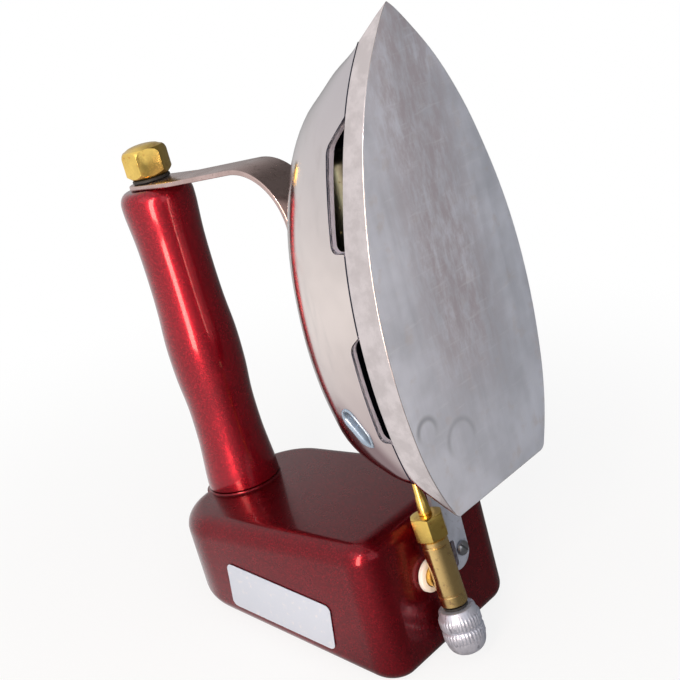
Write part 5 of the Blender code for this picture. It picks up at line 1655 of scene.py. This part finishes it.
# Stage
def lamp(name, spans, energy, colour, place, target):
    """An area lamp of a width and height, aimed at a point."""
    light = bpy.data.lights.new(name, "AREA")
    light.shape = "RECTANGLE"
    light.size, light.size_y = spans
    light.energy = energy
    light.color = colour
    item = bpy.data.objects.new(name, light)
    item.location = place
    item.rotation_euler = (Vector(target) - Vector(place)).to_track_quat("-Z", "Y").to_euler()
    bpy.context.scene.collection.objects.link(item)


def bright_side(tree, direction):
    """How bright the surround is in a direction for mirrored rays: light in front of the
    label side, dark behind the ironing face."""
    flat = vector_node(tree, "NORMALIZE",
                       vector_node(tree, "MULTIPLY", direction, (1.0, 1.0, 0.0)))
    facing = vector_node(tree, "DOT_PRODUCT", flat, BRIGHT_WAY)
    return spread(tree, facing, -0.55, 0.75, 0.12, 0.88)


class IRON_OT_stage(IronOperator, bpy.types.Operator):
    """Build the floor, the lamps, the world and the camera"""
    bl_idname = "iron.stage"
    bl_label = "Stage"

    def build(self):
        scene = bpy.context.scene
        scene.view_settings.view_transform = "Standard"
        self.build_floor()
        self.build_world()
        for row in LAMPS:
            lamp(*row)
        camera = bpy.data.cameras.new("camera")
        camera.sensor_width = 36.0
        camera.lens = CAMERA_LENS
        camera.shift_x, camera.shift_y = CAMERA_SHIFT
        camera.clip_start = 0.02
        item = bpy.data.objects.new("camera", camera)
        scene.collection.objects.link(item)
        item.matrix_world = STANCE @ seat(CAMERA_PLACE, CAMERA_TURN)
        scene.camera = item

    def build_floor(self):
        """A pale floor that takes the shadow and fades to white further out."""
        shape = bmesh.new()
        bmesh.ops.create_grid(shape, x_segments=2, y_segments=2, size=FLOOR_HALF)
        mesh = bpy.data.meshes.new("floor")
        shape.to_mesh(mesh)
        shape.free()
        floor = bpy.data.objects.new("floor", mesh)
        floor.location.z = FLOOR_DROP
        bpy.context.scene.collection.objects.link(floor)
        material = bpy.data.materials.new("pale_floor")
        material.use_nodes = True
        tree = material.node_tree
        shader = tree.nodes["Principled BSDF"]
        shader.inputs["Base Color"].default_value = FLOOR_TONE
        shader.inputs["Roughness"].default_value = 0.9
        shader.inputs["Specular IOR Level"].default_value = 0.1
        glow = tree.nodes.new("ShaderNodeEmission")
        path = tree.nodes.new("ShaderNodeLightPath")
        place = tree.nodes.new("ShaderNodeTexCoord")
        far = spread(tree, vector_node(tree, "LENGTH", place.outputs["Object"]),
                     FLOOR_NEAR, FLOOR_FAR)
        mirrored = path.outputs["Is Glossy Ray"]
        seen = math_node(tree, "MAXIMUM", path.outputs["Is Camera Ray"],
                         path.outputs["Is Transmission Ray"])
        near = math_node(tree, "MULTIPLY_ADD", far, 1.0 - FLOOR_SHARE, FLOOR_SHARE)
        shown = math_node(tree, "MULTIPLY", near, seen)
        glow.inputs["Color"].default_value = WHITE
        level = math_node(tree, "MAXIMUM", bright_side(tree, place.outputs["Object"]), seen)
        tree.links.new(level, glow.inputs["Strength"])
        mix = tree.nodes.new("ShaderNodeMixShader")
        tree.links.new(math_node(tree, "MAXIMUM", shown, mirrored), mix.inputs["Fac"])
        tree.links.new(shader.outputs[0], mix.inputs[1])
        tree.links.new(glow.outputs[0], mix.inputs[2])
        tree.links.new(mix.outputs[0], tree.nodes["Material Output"].inputs["Surface"])
        mesh.materials.append(material)

    def build_world(self):
        """A white surround; what the metals mirror of it darkens behind the sole."""
        world = bpy.data.worlds.new("studio")
        bpy.context.scene.world = world
        world.use_nodes = True
        tree = world.node_tree
        back = tree.nodes["Background"]
        path = tree.nodes.new("ShaderNodeLightPath")
        place = tree.nodes.new("ShaderNodeTexCoord")
        way = axes_of(tree, place.outputs["Generated"])
        sky = spread(tree, way["Z"], -0.2, 0.75, 0.42, 0.70)
        side = spread(tree, way["Y"], -0.6, 0.8, 1.0, 0.82)
        level = math_node(tree, "MULTIPLY", sky, side)
        mirrored = path.outputs["Is Glossy Ray"]
        plain = math_node(tree, "MULTIPLY", level, math_node(tree, "SUBTRACT", 1.0, mirrored))
        level = math_node(tree, "MULTIPLY_ADD", mirrored,
                          bright_side(tree, place.outputs["Generated"]), plain)
        seen = math_node(tree, "MAXIMUM", path.outputs["Is Camera Ray"],
                         path.outputs["Is Transmission Ray"])
        strength = math_node(tree, "MAXIMUM", level, seen)
        back.inputs["Color"].default_value = WHITE
        tree.links.new(strength, back.inputs["Strength"])


class IRON_PT_panel(bpy.types.Panel):
    """The iron's pieces and settings in the 3D view's sidebar"""
    bl_idname = "IRON_PT_panel"
    bl_label = "Butane iron"
    bl_space_type = "VIEW_3D"
    bl_region_type = "UI"
    bl_category = "Iron"

    def draw(self, context):
        """Lists the operators and the settings."""
        for kind in PIECES:
            self.layout.operator(kind.bl_idname)
        for settings in (context.scene.iron_sizes, context.scene.iron_colours):
            box = self.layout.box()
            for key in settings.__annotations__:
                box.prop(settings, key)


PIECES = (IRON_OT_soleplate, IRON_OT_hood, IRON_OT_strap, IRON_OT_handle, IRON_OT_nut,
          IRON_OT_tank, IRON_OT_label, IRON_OT_valve, IRON_OT_knob, IRON_OT_bracket,
          IRON_OT_burner, IRON_OT_filler, IRON_OT_fittings, IRON_OT_stage)
CLASSES = (IronSizes, IronColours) + PIECES + (IRON_PT_panel,)


def register():
    """Registers the classes and the scene's settings."""
    for kind in CLASSES:
        bpy.utils.register_class(kind)
    bpy.types.Scene.iron_sizes = PointerProperty(type=IronSizes)
    bpy.types.Scene.iron_colours = PointerProperty(type=IronColours)


def unregister():
    """Takes the settings and the classes away again."""
    del bpy.types.Scene.iron_colours
    del bpy.types.Scene.iron_sizes
    for kind in reversed(CLASSES):
        bpy.utils.unregister_class(kind)


def main():
    """Builds everything in order."""
    register()
    build_finishes()
    for kind in PIECES:
        group, name = kind.bl_idname.split(".")
        getattr(getattr(bpy.ops, group), name)()


if __name__ == "__main__":
    main()
